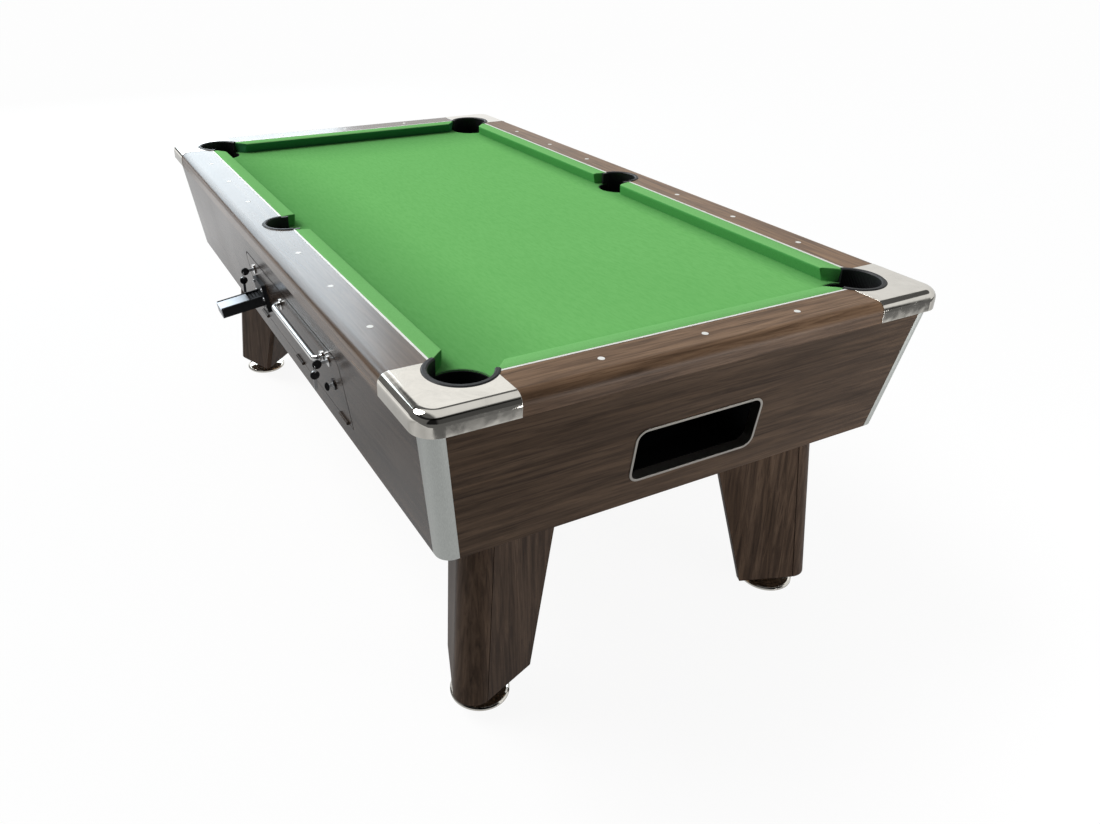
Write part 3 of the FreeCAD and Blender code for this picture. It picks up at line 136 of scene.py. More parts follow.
class Tree:
    """A node tree, with short calls for the nodes that finishes and studio share."""

    # On a mix node that is set to colours: places of the factor and the two colours, and of the result.
    MIX_INPUTS = (0, 6, 7)
    MIX_RESULT = 2

    def __init__(self, tree: bpy.types.NodeTree) -> None:
        """Takes the tree to fill."""
        self.nodes = tree.nodes
        self.links = tree.links

    def feed(self, socket: Socket, value: Feed) -> None:
        """Links a socket, or sets its value.

        Args:
            socket: The input to fill.
            value: An output socket, a number or a colour.
        """
        if isinstance(value, Socket):
            self.links.new(value, socket)
        elif socket.type == "RGBA":
            socket.default_value = (*value, 1.0)
        else:
            socket.default_value = value

    def coords(self, space: Space) -> Socket:
        """Gives the coordinates of a point in one space."""
        return self.nodes.new("ShaderNodeTexCoord").outputs[space.value]

    def split(self, vector: Socket) -> bpy.types.NodeOutputs:
        """Splits a vector.

        Args:
            vector: The vector.
        Returns:
            Its X, Y and Z.
        """
        node = self.nodes.new("ShaderNodeSeparateXYZ")
        self.links.new(vector, node.inputs["Vector"])
        return node.outputs

    def span(self, value: Socket, to: Pair, over: Pair = (0.0, 1.0)) -> Socket:
        """Maps a factor from one range to another.

        Args:
            value: The factor.
            to: Results at both ends.
            over: Factors at both ends.
        Returns:
            The mapped number.
        """
        node = self.nodes.new("ShaderNodeMapRange")
        for name, number in zip(("To Min", "To Max", "From Min", "From Max"), to + over):
            node.inputs[name].default_value = number
        self.links.new(value, node.inputs["Value"])
        return node.outputs["Result"]

    def ramp(self, value: Socket, *stops: tuple[float, Colour]) -> Socket:
        """Colours a factor by stops.

        Args:
            value: The factor.
            stops: Positions and colours in order.
        Returns:
            The colour output.
        """
        node = self.nodes.new("ShaderNodeValToRGB")
        elements = node.color_ramp.elements
        while len(elements) < len(stops):
            elements.new(0.5)
        for element, (position, colour) in zip(elements, stops):
            element.position = position
            element.color = (*colour, 1.0)
        self.links.new(value, node.inputs["Fac"])
        return node.outputs["Color"]

    def graded(self, value: Socket, bands: Pairs) -> Socket:
        """Grades a coordinate into light levels.

        Args:
            value: The coordinate.
            bands: Coordinates and levels in order.
        Returns:
            The level.
        """
        first, last = bands[0][0], bands[-1][0]
        stops = [((spot - first) / (last - first), (level, level, level)) for spot, level in bands]
        return self.ramp(self.span(value, to=(0.0, 1.0), over=(first, last)), *stops)

    def mix(self, amount: Feed, under: Feed, over: Feed, blend: Blend = Blend.OVER) -> Socket:
        """Lays one colour over another.

        Args:
            amount: How much of the upper colour.
            under: Lower colour.
            over: Upper colour.
            blend: How they combine.
        Returns:
            The mixed colour.
        """
        node = self.nodes.new("ShaderNodeMix")
        node.data_type = "RGBA"
        node.blend_type = blend.value
        for index, value in zip(self.MIX_INPUTS, (amount, under, over)):
            self.feed(node.inputs[index], value)
        return node.outputs[self.MIX_RESULT]

    def sum(self, way: Way, *numbers: Feed) -> Socket:
        """Works out one number from others.

        Args:
            way: The arithmetic used.
            numbers: What goes in. From the third on, each joins the result so far.
        Returns:
            The result.
        """
        node = self.nodes.new("ShaderNodeMath")
        node.operation = way.value
        for socket, number in zip(node.inputs, numbers[:2]):
            self.feed(socket, number)
        result = node.outputs[0]
        return self.sum(way, result, *numbers[2:]) if numbers[2:] else result

    def ray(self, kind: Ray) -> Socket:
        """Gives 1 for one kind of ray, otherwise 0."""
        return self.nodes.new("ShaderNodeLightPath").outputs[kind.value]

    def seen(self) -> Socket:
        """Gives 1 for rays that see the backdrop itself, otherwise 0."""
        return self.sum(Way.LARGEST, *[self.ray(kind) for kind in Ray])


class Graph(Tree):
    """The node tree of one finish's material."""

    BEVEL_SAMPLES = 4

    def __init__(self, name: str) -> None:
        """Starts a material with its Principled shader.

        Args:
            name: The material's name.
        """
        material = bpy.data.materials.new(name)
        material.use_nodes = True
        super().__init__(material.node_tree)
        self.shader = self.nodes["Principled BSDF"]

    def put(self, **values: Feed) -> None:
        """Fills the shader's sockets, named with underscores for spaces."""
        for name, value in values.items():
            self.feed(self.shader.inputs[name.replace("_", " ")], value)

    def place(self, scale: Triple = (1, 1, 1), shift: Triple = (0, 0, 0)) -> Socket:
        """Gives the object's own coordinates in metres, stretched and shifted.

        Args:
            scale: Factor along each axis.
            shift: Offset added after scaling.
        Returns:
            The vector output.
        """
        mapping = self.nodes.new("ShaderNodeMapping")
        mapping.inputs["Scale"].default_value = scale
        mapping.inputs["Location"].default_value = shift
        self.links.new(self.coords(Space.OBJECT), mapping.inputs["Vector"])
        return mapping.outputs["Vector"]

    def noise(self, vector: Socket, scale: float, detail: float, rough: float = 0.5,
              twist: float = 0.0) -> Socket:
        """Adds a noise texture.

        Args:
            vector: Coordinates.
            scale: Features per metre.
            detail: Octaves.
            rough: Strength of the finer octaves.
            twist: Distortion.
        Returns:
            The factor output, 0 to 1.
        """
        node = self.nodes.new("ShaderNodeTexNoise")
        self.links.new(vector, node.inputs["Vector"])
        values = {"Scale": scale, "Detail": detail, "Roughness": rough, "Distortion": twist}
        for name, value in values.items():
            node.inputs[name].default_value = value
        return node.outputs["Fac"]

    def margin(self, strips: Strips) -> Socket:
        """Marks strips along the edges of a rectangle.

        Args:
            strips: Axis, outer edge and inner edge of each strip, in metres.
        Returns:
            1 at an outer edge, falling to 0 at its strip's inner edge.
        """
        axes = self.split(self.place())
        marks = [self.span(axes[axis], to=(1.0, 0.0), over=(outer, inner)) for axis, outer, inner in strips]
        return self.sum(Way.LARGEST, *marks)

    def rings(self, value: Socket, count: float) -> Socket:
        """Turns a smooth factor into growth rings, a wave from -1 to 1 with count radians per unit."""
        return self.sum(Way.WAVE, self.sum(Way.PRODUCT, value, count))

    def bump(self, height: Socket, strength: float, distance: float, base: Optional[Socket] = None) -> Socket:
        """Raises the surface by a height map.

        Args:
            height: Height factor.
            strength: Share of the effect.
            distance: Full height in metres.
            base: Normal to start from.
        Returns:
            The bent normal.
        """
        node = self.nodes.new("ShaderNodeBump")
        node.inputs["Strength"].default_value = strength
        node.inputs["Distance"].default_value = distance
        self.links.new(height, node.inputs["Height"])
        if base is not None:
            self.links.new(base, node.inputs["Normal"])
        return node.outputs["Normal"]

    def normal(self) -> Socket:
        """Gives the surface's own normal."""
        return self.nodes.new("ShaderNodeNewGeometry").outputs["Normal"]

    def slope(self) -> Socket:
        """Tells how far the surface faces up: 1 for level, 0 for upright."""
        return self.split(self.normal())["Z"]

    def softened(self, radius: float) -> Socket:
        """Rounds sharp edges in the shading.

        Args:
            radius: Radius in metres.
        Returns:
            The rounded normal.
        """
        node = self.nodes.new("ShaderNodeBevel")
        node.samples = self.BEVEL_SAMPLES
        node.inputs["Radius"].default_value = radius
        return node.outputs["Normal"]

    def edge(self, radius: float) -> Socket:
        """Tells how near a sharp edge is, by how far the rounded normal leans off the plain one.

        Args:
            radius: Reach in metres.
        Returns:
            1 on the edge, 0 beyond the radius.
        """
        turned = self.nodes.new("ShaderNodeVectorMath")
        turned.operation = "DOT_PRODUCT"
        self.links.new(self.normal(), turned.inputs[0])
        self.links.new(self.softened(radius), turned.inputs[1])
        return self.span(turned.outputs["Value"], to=(1.0, 0.0), over=(0.85, 0.99))


@dataclass(frozen=True)
class Finish:
    """A surface finish that makes its material once."""

    name: str

    def material(self) -> bpy.types.Material:
        """Gives the finish's material.

        Returns:
            The material, made at the first call.
        """
        if self.name not in bpy.data.materials:
            self.fill(Graph(self.name))
        return bpy.data.materials[self.name]

    def fill(self, graph: Graph) -> None:
        """Fills the node tree."""
        raise NotImplementedError


@dataclass(frozen=True)
class Laminate(Finish):
    """Printed walnut laminate under a satin coat."""

    grain: Grain
    shift: Triple
    dark: Colour
    middle: Colour
    light: Colour
    sheen: Colour = (0.95, 0.68, 0.48)
    gloss: float = 0.14
    rough: float = 0.32
    core: float = 0.0
    # Painted shade on upright faces.
    side: Colour = WHITE

    RING_COUNT = 46.0
    RING_SHARE = 0.8
    RING_DARK = (0.8, 0.78, 0.76)
    RING_PALE = (1.08, 1.07, 1.05)
    BROAD_PALE = (1.06, 1.05, 1.03)
    CORE_LINE = screen(16, 12, 10)

    def fill(self, graph: Graph) -> None:
        """Lays growth rings, streaks and pores along the grain, a dark core line at cut edges and painted
        shade on upright faces.

        Args:
            graph: The empty tree.
        """
        along = graph.place(self.grain.value, self.shift)
        heart = graph.noise(along, scale=5.0, detail=2.0, rough=0.45, twist=0.6)
        streaks = graph.noise(along, scale=95.0, detail=6.0, rough=0.62, twist=0.9)
        pores = graph.noise(along, scale=300.0, detail=3.0, rough=0.6)
        worn = graph.noise(graph.place(), scale=3.0, detail=3.0, rough=0.6)
        figure = graph.span(graph.rings(heart, self.RING_COUNT), to=(0.0, 1.0), over=(-1.0, 1.0))
        lines = graph.ramp(figure, (0.0, self.RING_DARK), (0.3, WHITE), (1.0, self.RING_PALE))
        broad = graph.ramp(heart, (0.32, self.RING_DARK), (0.6, self.BROAD_PALE))
        holes = graph.span(pores, to=(0.5, 0.0), over=(0.34, 0.45))
        upright = graph.span(graph.slope(), to=(1.0, 0.0), over=(0.1, 0.9))
        colour = graph.ramp(streaks, (0.28, self.dark), (0.5, self.middle), (0.76, self.light))
        colour = graph.mix(self.RING_SHARE, colour, lines, Blend.DARKEN)
        colour = graph.mix(self.RING_SHARE, colour, broad, Blend.DARKEN)
        colour = graph.mix(holes, colour, self.dark)
        # Painted shade on upright faces.
        colour = graph.mix(upright, colour, self.side, Blend.DARKEN)
        shine: Feed = self.gloss
        if self.core:
            cut = graph.edge(self.core)
            colour = graph.mix(cut, colour, self.CORE_LINE)
            shine = graph.span(cut, to=(self.gloss, 0.0))
        rounded = graph.softened(radius=0.0007)
        graph.put(Base_Color=colour, Roughness=graph.span(worn, to=(self.rough - 0.05, self.rough + 0.08)),
                  Specular_IOR_Level=shine, Specular_Tint=self.sheen,
                  Normal=graph.bump(pores, strength=0.12, distance=0.0004, base=rounded))


@dataclass(frozen=True)
class Board(Finish):
    """Bare pressed board with fine chips."""

    tone: Colour = screen(150, 122, 92)

    def fill(self, graph: Graph) -> None:
        """Scatters pale and dark chips.

        Args:
            graph: The empty tree.
        """
        chips = graph.noise(graph.place(), scale=260.0, detail=3.0, rough=0.7)
        cloud = graph.noise(graph.place(), scale=6.0, detail=3.0)
        deep = scaled(self.tone, factor=0.55)
        pale = scaled(self.tone, factor=1.35)
        colour = graph.ramp(chips, (0.3, deep), (0.5, self.tone), (0.7, pale))
        graph.put(Base_Color=graph.mix(graph.span(cloud, to=(0.0, 0.35)), colour, deep), Roughness=0.85,
                  Normal=graph.bump(chips, strength=0.3, distance=0.0006))


@dataclass(frozen=True)
class HonedSlate(Finish):
    """Ground slate with faint cleavage lines."""

    tone: Colour = screen(96, 100, 106)
    layers: Triple = (1.0, 1.0, 14.0)

    def fill(self, graph: Graph) -> None:
        """Layers cloudy grey along the slab.

        Args:
            graph: The empty tree.
        """
        beds = graph.noise(graph.place(self.layers), scale=18.0, detail=6.0, rough=0.6, twist=0.8)
        grit = graph.noise(graph.place(), scale=900.0, detail=2.0)
        colour = graph.ramp(beds, (0.3, scaled(self.tone, factor=0.6)), (0.65, self.tone))
        graph.put(Base_Color=colour, Roughness=0.7, Normal=graph.bump(grit, strength=0.25, distance=0.0003))


@dataclass(frozen=True)
class BilliardCloth(Finish):
    """Napped wool cloth, stretched tight."""

    tone: Colour
    shade: Colour
    run: Triple = (1.0, 0.25, 1.0)
    pitch: float = 150.0
    # Painted shade laid on upright faces.
    side: Colour = WHITE
    # Painted shadow in strips along the cushions: its colour, each strip's axis, outer edge and inner edge in
    # metres, and the power of its fall.
    painted_shadow: Colour = WHITE
    strips: Strips = (("X", -0.4572, -0.2), ("X", 0.4572, 0.4), ("Y", 0.9144, 0.66), ("Y", -0.9144, -0.85))
    fall: float = 1.3

    def fill(self, graph: Graph) -> None:
        """Mixes nap streaks, worn clouds and a fine weave, with painted shade on upright faces and painted
        shadow strips.

        Args:
            graph: The empty tree.
        """
        nap = graph.noise(graph.place(self.run), self.pitch, detail=4.0, rough=0.7)
        clouds = graph.noise(graph.place(), scale=2.2, detail=3.0, rough=0.55)
        weave = graph.noise(graph.place(), scale=1300.0, detail=2.0, rough=0.6)
        worn = graph.span(clouds, to=(0.0, 0.4), over=(0.4, 0.75))
        upright = graph.span(graph.slope(), to=(1.0, 0.0), over=(0.35, 0.85))
        edge = graph.sum(Way.POWER, graph.margin(self.strips), self.fall)
        colour = graph.ramp(nap, (0.25, self.shade), (0.6, self.tone))
        colour = graph.mix(worn, colour, self.shade)
        # Painted shade on upright faces.
        colour = graph.mix(upright, colour, self.side, Blend.DARKEN)
        # Painted shadow in the strips along the cushions.
        colour = graph.mix(edge, colour, self.painted_shadow, Blend.DARKEN)
        woven = graph.bump(weave, strength=0.25, distance=0.0003)
        rough = graph.span(nap, to=(0.85, 0.97))
        graph.put(Base_Color=colour, Roughness=rough, Specular_IOR_Level=0.0, IOR=1.0,
                  Normal=graph.bump(nap, strength=0.12, distance=0.0006, base=woven))


@dataclass(frozen=True)
class Polish(Finish):
    """Bright plate with finger smears."""

    tone: Colour
    rough: float
    ripple: float

    def fill(self, graph: Graph) -> None:
        """Varies the polish in soft smears over a slightly uneven casting.

        Args:
            graph: The empty tree.
        """
        smear = graph.noise(graph.place(), scale=26.0, detail=4.0, rough=0.65, twist=0.6)
        waves = graph.noise(graph.place(), scale=38.0, detail=1.0)
        colour = graph.ramp(smear, (0.35, self.tone), (0.8, scaled(self.tone, factor=0.86)))
        rounded = graph.softened(radius=0.0008)
        graph.put(Base_Color=colour, Metallic=1.0,
                  Roughness=graph.span(smear, to=(self.rough, self.rough + 0.16), over=(0.4, 0.85)),
                  Normal=graph.bump(waves, self.ripple, distance=0.002, base=rounded))


@dataclass(frozen=True)
class Brushed(Finish):
    """Metal with fine lines along one direction."""

    tone: Colour
    lines: Triple = (1.0, 1.0, 0.02)
    rough: float = 0.34

    def fill(self, graph: Graph) -> None:
        """Draws brush lines in colour, roughness and height.

        Args:
            graph: The empty tree.
        """
        brush = graph.noise(graph.place(self.lines), scale=900.0, detail=3.0, rough=0.6)
        cloud = graph.noise(graph.place(), scale=14.0, detail=3.0)
        dim = scaled(self.tone, factor=0.82)
        colour = graph.ramp(brush, (0.3, dim), (0.65, self.tone))
        rounded = graph.softened(radius=0.0005)
        graph.put(Base_Color=graph.mix(graph.span(cloud, to=(0.0, 0.3)), colour, dim), Metallic=1.0,
                  Roughness=graph.span(brush, to=(self.rough - 0.06, self.rough + 0.1)),
                  Normal=graph.bump(brush, strength=0.1, distance=0.0002, base=rounded))


@dataclass(frozen=True)
class Moulding(Finish):
    """Moulded plastic with a fine spark grain."""

    tone: Colour
    rough: float
    gloss: float = 0.35
    pitch: float = 900.0

    def fill(self, graph: Graph) -> None:
        """Adds grain, handling marks and a little dust.

        Args:
            graph: The empty tree.
        """
        grain = graph.noise(graph.place(), self.pitch, detail=2.0, rough=0.6)
        rubbed = graph.noise(graph.place(), scale=20.0, detail=4.0, rough=0.6)
        dust = graph.span(rubbed, to=(0.0, 0.6), over=(0.45, 0.8))
        rounded = graph.softened(radius=0.0006)
        graph.put(Base_Color=graph.mix(dust, self.tone, scaled(self.tone, factor=1.5, lift=0.006)),
                  Roughness=graph.span(rubbed, to=(self.rough - 0.08, self.rough + 0.12)),
                  Specular_IOR_Level=self.gloss,
                  Normal=graph.bump(grain, strength=0.12, distance=0.0002, base=rounded))


class Finishes:
    """Every finish of the table by name."""

    side_board = Laminate("walnut_side", Grain.LENGTH, (0.0, 0.0, 0.0), screen(36, 29, 25),
                          screen(60, 50, 43), screen(82, 69, 59), sheen=(0.74, 0.9, 1.0), gloss=0.19,
                          rough=0.2)
    door_board = replace(side_board, name="walnut_door", shift=(0.0, 0.2, 0.013), core=0.004)
    hinge = replace(side_board, name="hinge_film")
    end_board = Laminate("walnut_end", Grain.WIDTH, (0.3, 1.7, 0.4), screen(39, 30, 25), screen(63, 51, 42),
                         screen(85, 69, 56))
    coin_rail = Laminate("walnut_coin_rail", Grain.LENGTH, (2.1, 0.4, 1.3), screen(82, 66, 54),
                         screen(100, 83, 69), screen(118, 98, 82), sheen=(0.8, 0.92, 1.0), gloss=0.7,
                         rough=0.2)
    rear_rail = replace(coin_rail, name="walnut_rear_rail", grain=Grain.WIDTH, shift=(1.9, 2.1, 0.2),
                        dark=screen(66, 52, 42), middle=screen(102, 84, 70), light=screen(130, 108, 90))
    plain_rail = Laminate("walnut_plain_rail", Grain.LENGTH, (1.7, 1.4, 0.3), screen(76, 55, 38),
                          screen(120, 92, 66), screen(150, 119, 88), sheen=(0.95, 0.97, 1.0), gloss=0.2)
    # The front rail's upright faces carry painted shade.
    end_rail = Laminate("walnut_end_rail", Grain.WIDTH, (0.9, 3.1, 0.7), screen(76, 58, 43),
                        screen(122, 97, 76), screen(154, 126, 100), sheen=(0.95, 0.97, 1.0), gloss=0.1,
                        rough=0.36, side=(0.5, 0.5, 0.52))
    leg_board = Laminate("walnut_leg", Grain.HEIGHT, (0.6, 0.8, 2.4), screen(36, 28, 24), screen(62, 50, 42),
                         screen(84, 69, 58), gloss=0.12, rough=0.38, core=0.0018)
    board = Board("pressed_board")
    slate = HonedSlate("honed_slate")
    # The bed's cloth carries a painted shadow along the cushions, widest on the coin side and at the rear.
    bed_cloth = BilliardCloth("bed_baize", screen(120, 190, 110), screen(109, 180, 100),
                              painted_shadow=(0.6, 0.66, 0.64))
    # Cushion cloth with painted shade on its upright faces.
    cushion_cloth = BilliardCloth("cushion_baize", screen(127, 192, 118), screen(111, 179, 102),
                                  run=(1.0, 1.0, 1.0), pitch=420.0, side=(0.5, 0.72, 0.62))
    # The rear cushion's copy, with deeper painted shade on its upright face.
    rear_shaded_cloth = replace(cushion_cloth, name="rear_baize_shaded", side=(0.26, 0.48, 0.62))
    chrome = Polish("polished_plate", (0.87, 0.84, 0.77), rough=0.03, ripple=0.06)
    tube = Polish("plated_tube", (0.84, 0.84, 0.83), rough=0.04, ripple=0.0)
    aluminium = Brushed("satin_post", (0.72, 0.75, 0.72))
    trim = Brushed("window_trim", (0.5, 0.48, 0.44), lines=(1.0, 1.0, 1.0), rough=0.3)
    steel = Brushed("plain_steel", (0.62, 0.63, 0.64), lines=(0.02, 1.0, 1.0), rough=0.3)
    slide_plate = Brushed("slide_steel", (0.44, 0.46, 0.49), lines=(0.05, 1.0, 1.0), rough=0.3)
    dark_lock = Brushed("blackened_lock", (0.05, 0.05, 0.055), lines=(1.0, 1.0, 1.0), rough=0.35)
    edging = Moulding("dark_edging", screen(30, 24, 21), rough=0.6, gloss=0.1)
    rim = Moulding("pocket_rim", (0.016, 0.017, 0.019), rough=0.45)
    white = Moulding("strip_white", screen(232, 232, 226), rough=0.3, gloss=0.5)
    inside = Moulding("return_plastic", (0.006, 0.006, 0.007), rough=0.7, gloss=0.1)
    enamel = Moulding("black_enamel", (0.008, 0.009, 0.011), rough=0.4, gloss=0.2, pitch=500.0)
    key_head = Moulding("key_head", (0.01, 0.01, 0.011), rough=0.4, gloss=0.25, pitch=1200.0)


def dress(node: str, finish: Finish, *others: tuple[Finish, Picker]) -> None:
    """Gives a frame node its finish.

    Args:
        node: The node's name.
        finish: The main finish.
        others: Further finishes, each with a test on a face's centre and normal. The last that fits wins.
    """
    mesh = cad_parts[node].data
    mesh.materials.clear()
    marks = [0] * len(mesh.polygons)
    mesh.materials.append(finish.material())
    for index, (other, pick) in enumerate(others, 1):
        mesh.materials.append(other.material())
        marks = [index if pick(p.center, p.normal) else mark for p, mark in zip(mesh.polygons, marks)]
    mesh.polygons.foreach_set("material_index", marks)
    LOG.info("dressed %s", node)


def add_piece(name: str, made: bmesh.types.BMesh, finish: Finish, body: str,
              crease: float) -> bpy.types.Object:
    """Turns a mesh into a piece that rides on a body.

    Args:
        name: Name of the piece.
        made: Its geometry, which is used up.
        finish: Its finish.
        body: Body that carries it.
        crease: Angle in degrees above which an edge stays sharp.
    Returns:
        The new object.
    """
    bmesh.ops.recalc_face_normals(made, faces=made.faces)
    mesh = bpy.data.meshes.new(name)
    made.to_mesh(mesh)
    made.free()
    mesh.polygons.foreach_set("use_smooth", [True] * len(mesh.polygons))
    mesh.set_sharp_from_angle(angle=math.radians(crease))
    mesh.materials.append(finish.material())
    piece = bpy.data.objects.new(name, mesh)
    bpy.context.scene.collection.objects.link(piece)
    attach(piece, body)
    LOG.info("built %s", name)
    return piece


def lathe(made: bmesh.types.BMesh, profile: Sequence[Pair], to_place: Matrix, steps: int) -> None:
    """Turns a profile about its own axis.

    Args:
        made: Mesh that receives the faces.
        profile: Radius and height pairs that end on the axis.
        to_place: Takes the turned form from its own axes to its place.
        steps: Sides of each ring.
    """
    turns = [2 * math.pi * k / steps for k in range(steps)]
    rings = []
    for radius, height in profile:
        points = [Vector((radius * math.cos(t), radius * math.sin(t), height)) for t in turns]
        if radius == 0:
            points = points[:1]
        rings.append([made.verts.new(to_place @ p) for p in points])
    for low, high in zip(rings, rings[1:]):
        for k in range(steps):
            corners = [low[k % len(low)], low[(k + 1) % len(low)]]
            corners += [high[(k + 1) % len(high)], high[k % len(high)]]
            made.faces.new(list(dict.fromkeys(corners)))


@dataclass
class Cabinet:
    """Leaning panels, posts, inner framing and window frame."""

    # Outward share of a normal above which a face counts as outside, and inward share for inside.
    share: float = 0.3

    def turned(self, outward: Outward, limit: float) -> Picker:
        """Picks faces whose normal reaches less far outward than a limit."""
        way = Vector(outward.value)
        return lambda _, normal: normal.dot(way) < limit

    def panel(self, node: str, finish: Finish, outward: Outward) -> None:
        """Veneers a panel's outside, stains its edges and leaves its inside bare.

        Args:
            node: The panel's node.
            finish: The outside finish.
            outward: The way that its outside faces.
        """
        stained = (Finishes.edging, self.turned(outward, self.share))
        bare = (Finishes.board, self.turned(outward, -self.share))
        dress(node, finish, stained, bare)

    def dress(self) -> None:
        """Dresses the panels, posts and inner parts."""
        self.panel("front_panel", Finishes.end_board, Outward.FRONT)
        self.panel("rear_panel", Finishes.end_board, Outward.REAR)
        self.panel("coin_side_panel", Finishes.side_board, Outward.COIN_SIDE)
        self.panel("plain_side_panel", Finishes.side_board, Outward.PLAIN_SIDE)
        dress("corner_posts", Finishes.aluminium)
        dress("window_frame", Finishes.trim)
        for node in ("cabinet_framing", "cabinet_floor"):
            dress(node, Finishes.board)


@dataclass
class Rails:
    """Top rails, corner castings, white strips and sight dots."""

    def dress(self) -> None:
        """Gives each rail its grain and the castings their polish."""
        dress("rail_coin_side", Finishes.coin_rail)
        dress("rail_plain_side", Finishes.plain_rail)
        dress("rail_front", Finishes.end_rail)
        dress("rail_rear", Finishes.rear_rail)
        for corner in CORNERS:
            dress("casting_" + corner, Finishes.chrome)
        dress("trim_strips", Finishes.white)
        dress("sight_dots", Finishes.white)


@dataclass
class Bed:
    """Slate and the cloth stretched over it."""

    half_width: float = field(init=False)
    half_length: float = field(init=False)
    top: float = field(init=False)
    mid_x: float = 0.4972
    mid_radius: float = 0.054
    corner_x: float = 0.4622
    corner_y: float = 0.9194
    corner_radius: float = 0.061
    lip: Pairs = ((0.009, 0.0), (0.0035, 0.0), (0.0016, -0.0003), (0.0002, -0.0011), (-0.0004, -0.0024),
                  (-0.0005, -0.008))
    arc_steps: int = 40
    area: float = 1.966
    crease: float = 40.0

    # Triangles inside the outline only, and the distance in metres that counts as none.
    FILL_INSIDE = 1
    FILL_NEAR = 1e-7

    def __post_init__(self) -> None:
        """Takes the sheet's size and level from the frame."""
        _, (self.half_width, self.half_length, self.top) = sides("bed_cloth")

    def pocket_arc(self, x: float, y: float, radius: float, first: float, last: float) -> list[Vector]:
        """Gives plan points round a pocket's centre, from a first to a last angle in radians."""
        angles = [first + (last - first) * k / self.arc_steps for k in range(self.arc_steps + 1)]
        return [Vector((x + radius * math.cos(a), y + radius * math.sin(a))) for a in angles]

    def pocket_edges(self, grow: float) -> list[list[Vector]]:
        """The six pocket edges in order round the bed.

        Args:
            grow: Distance outside the slate's own cut.
        Returns:
            One run of plan points per pocket.
        """
        wide = self.mid_radius + grow
        reach = math.acos((self.half_width - self.mid_x) / wide)
        mid = self.pocket_arc(self.mid_x, 0, wide, -reach, reach - 2 * math.pi)
        wide = self.corner_radius + grow
        side = math.acos((self.half_width - self.corner_x) / wide)
        end = math.asin((self.half_length - self.corner_y) / wide)
        corner = self.pocket_arc(self.corner_x, self.corner_y, wide, -side, -math.pi - end)
        mirror = [Vector((-p.x, p.y)) for p in reversed(corner)]
        half = [mid, corner, mirror]
        opposite = [[Vector((-p.x, -p.y)) for p in run] for run in half]
        return half + opposite

    def build(self) -> None:
        """Cuts the sheet, rolls its edge into each pocket and lays it on the slate."""
        dress("slate_bed", Finishes.slate)
        made = bmesh.new()
        rows = [self.pocket_edges(grow) for grow, _ in self.lip]
        plan = [p for run in rows[0] for p in run]
        outline = [list(range(len(plan)))]
        flat, _, faces = delaunay_2d_cdt(plan, [], outline, self.FILL_INSIDE, self.FILL_NEAR)[:3]
        verts = [made.verts.new((p.x, p.y, self.top)) for p in flat]
        for face in faces:
            made.faces.new([verts[k] for k in face])
        for pocket in range(len(rows[0])):
            strips = [[made.verts.new((p.x, p.y, self.top + drop)) for p in row[pocket]]
                      for row, (_, drop) in zip(rows, self.lip)]
            for upper, lower in zip(strips, strips[1:]):
                for k in range(self.arc_steps):
                    made.faces.new((upper[k], upper[k + 1], lower[k + 1], lower[k]))
        bmesh.ops.remove_doubles(made, verts=made.verts, dist=WELD)
        cloth = add_piece("bed_cloth_sheet", made, Finishes.bed_cloth, "cabinet", self.crease)
        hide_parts("bed_cloth")


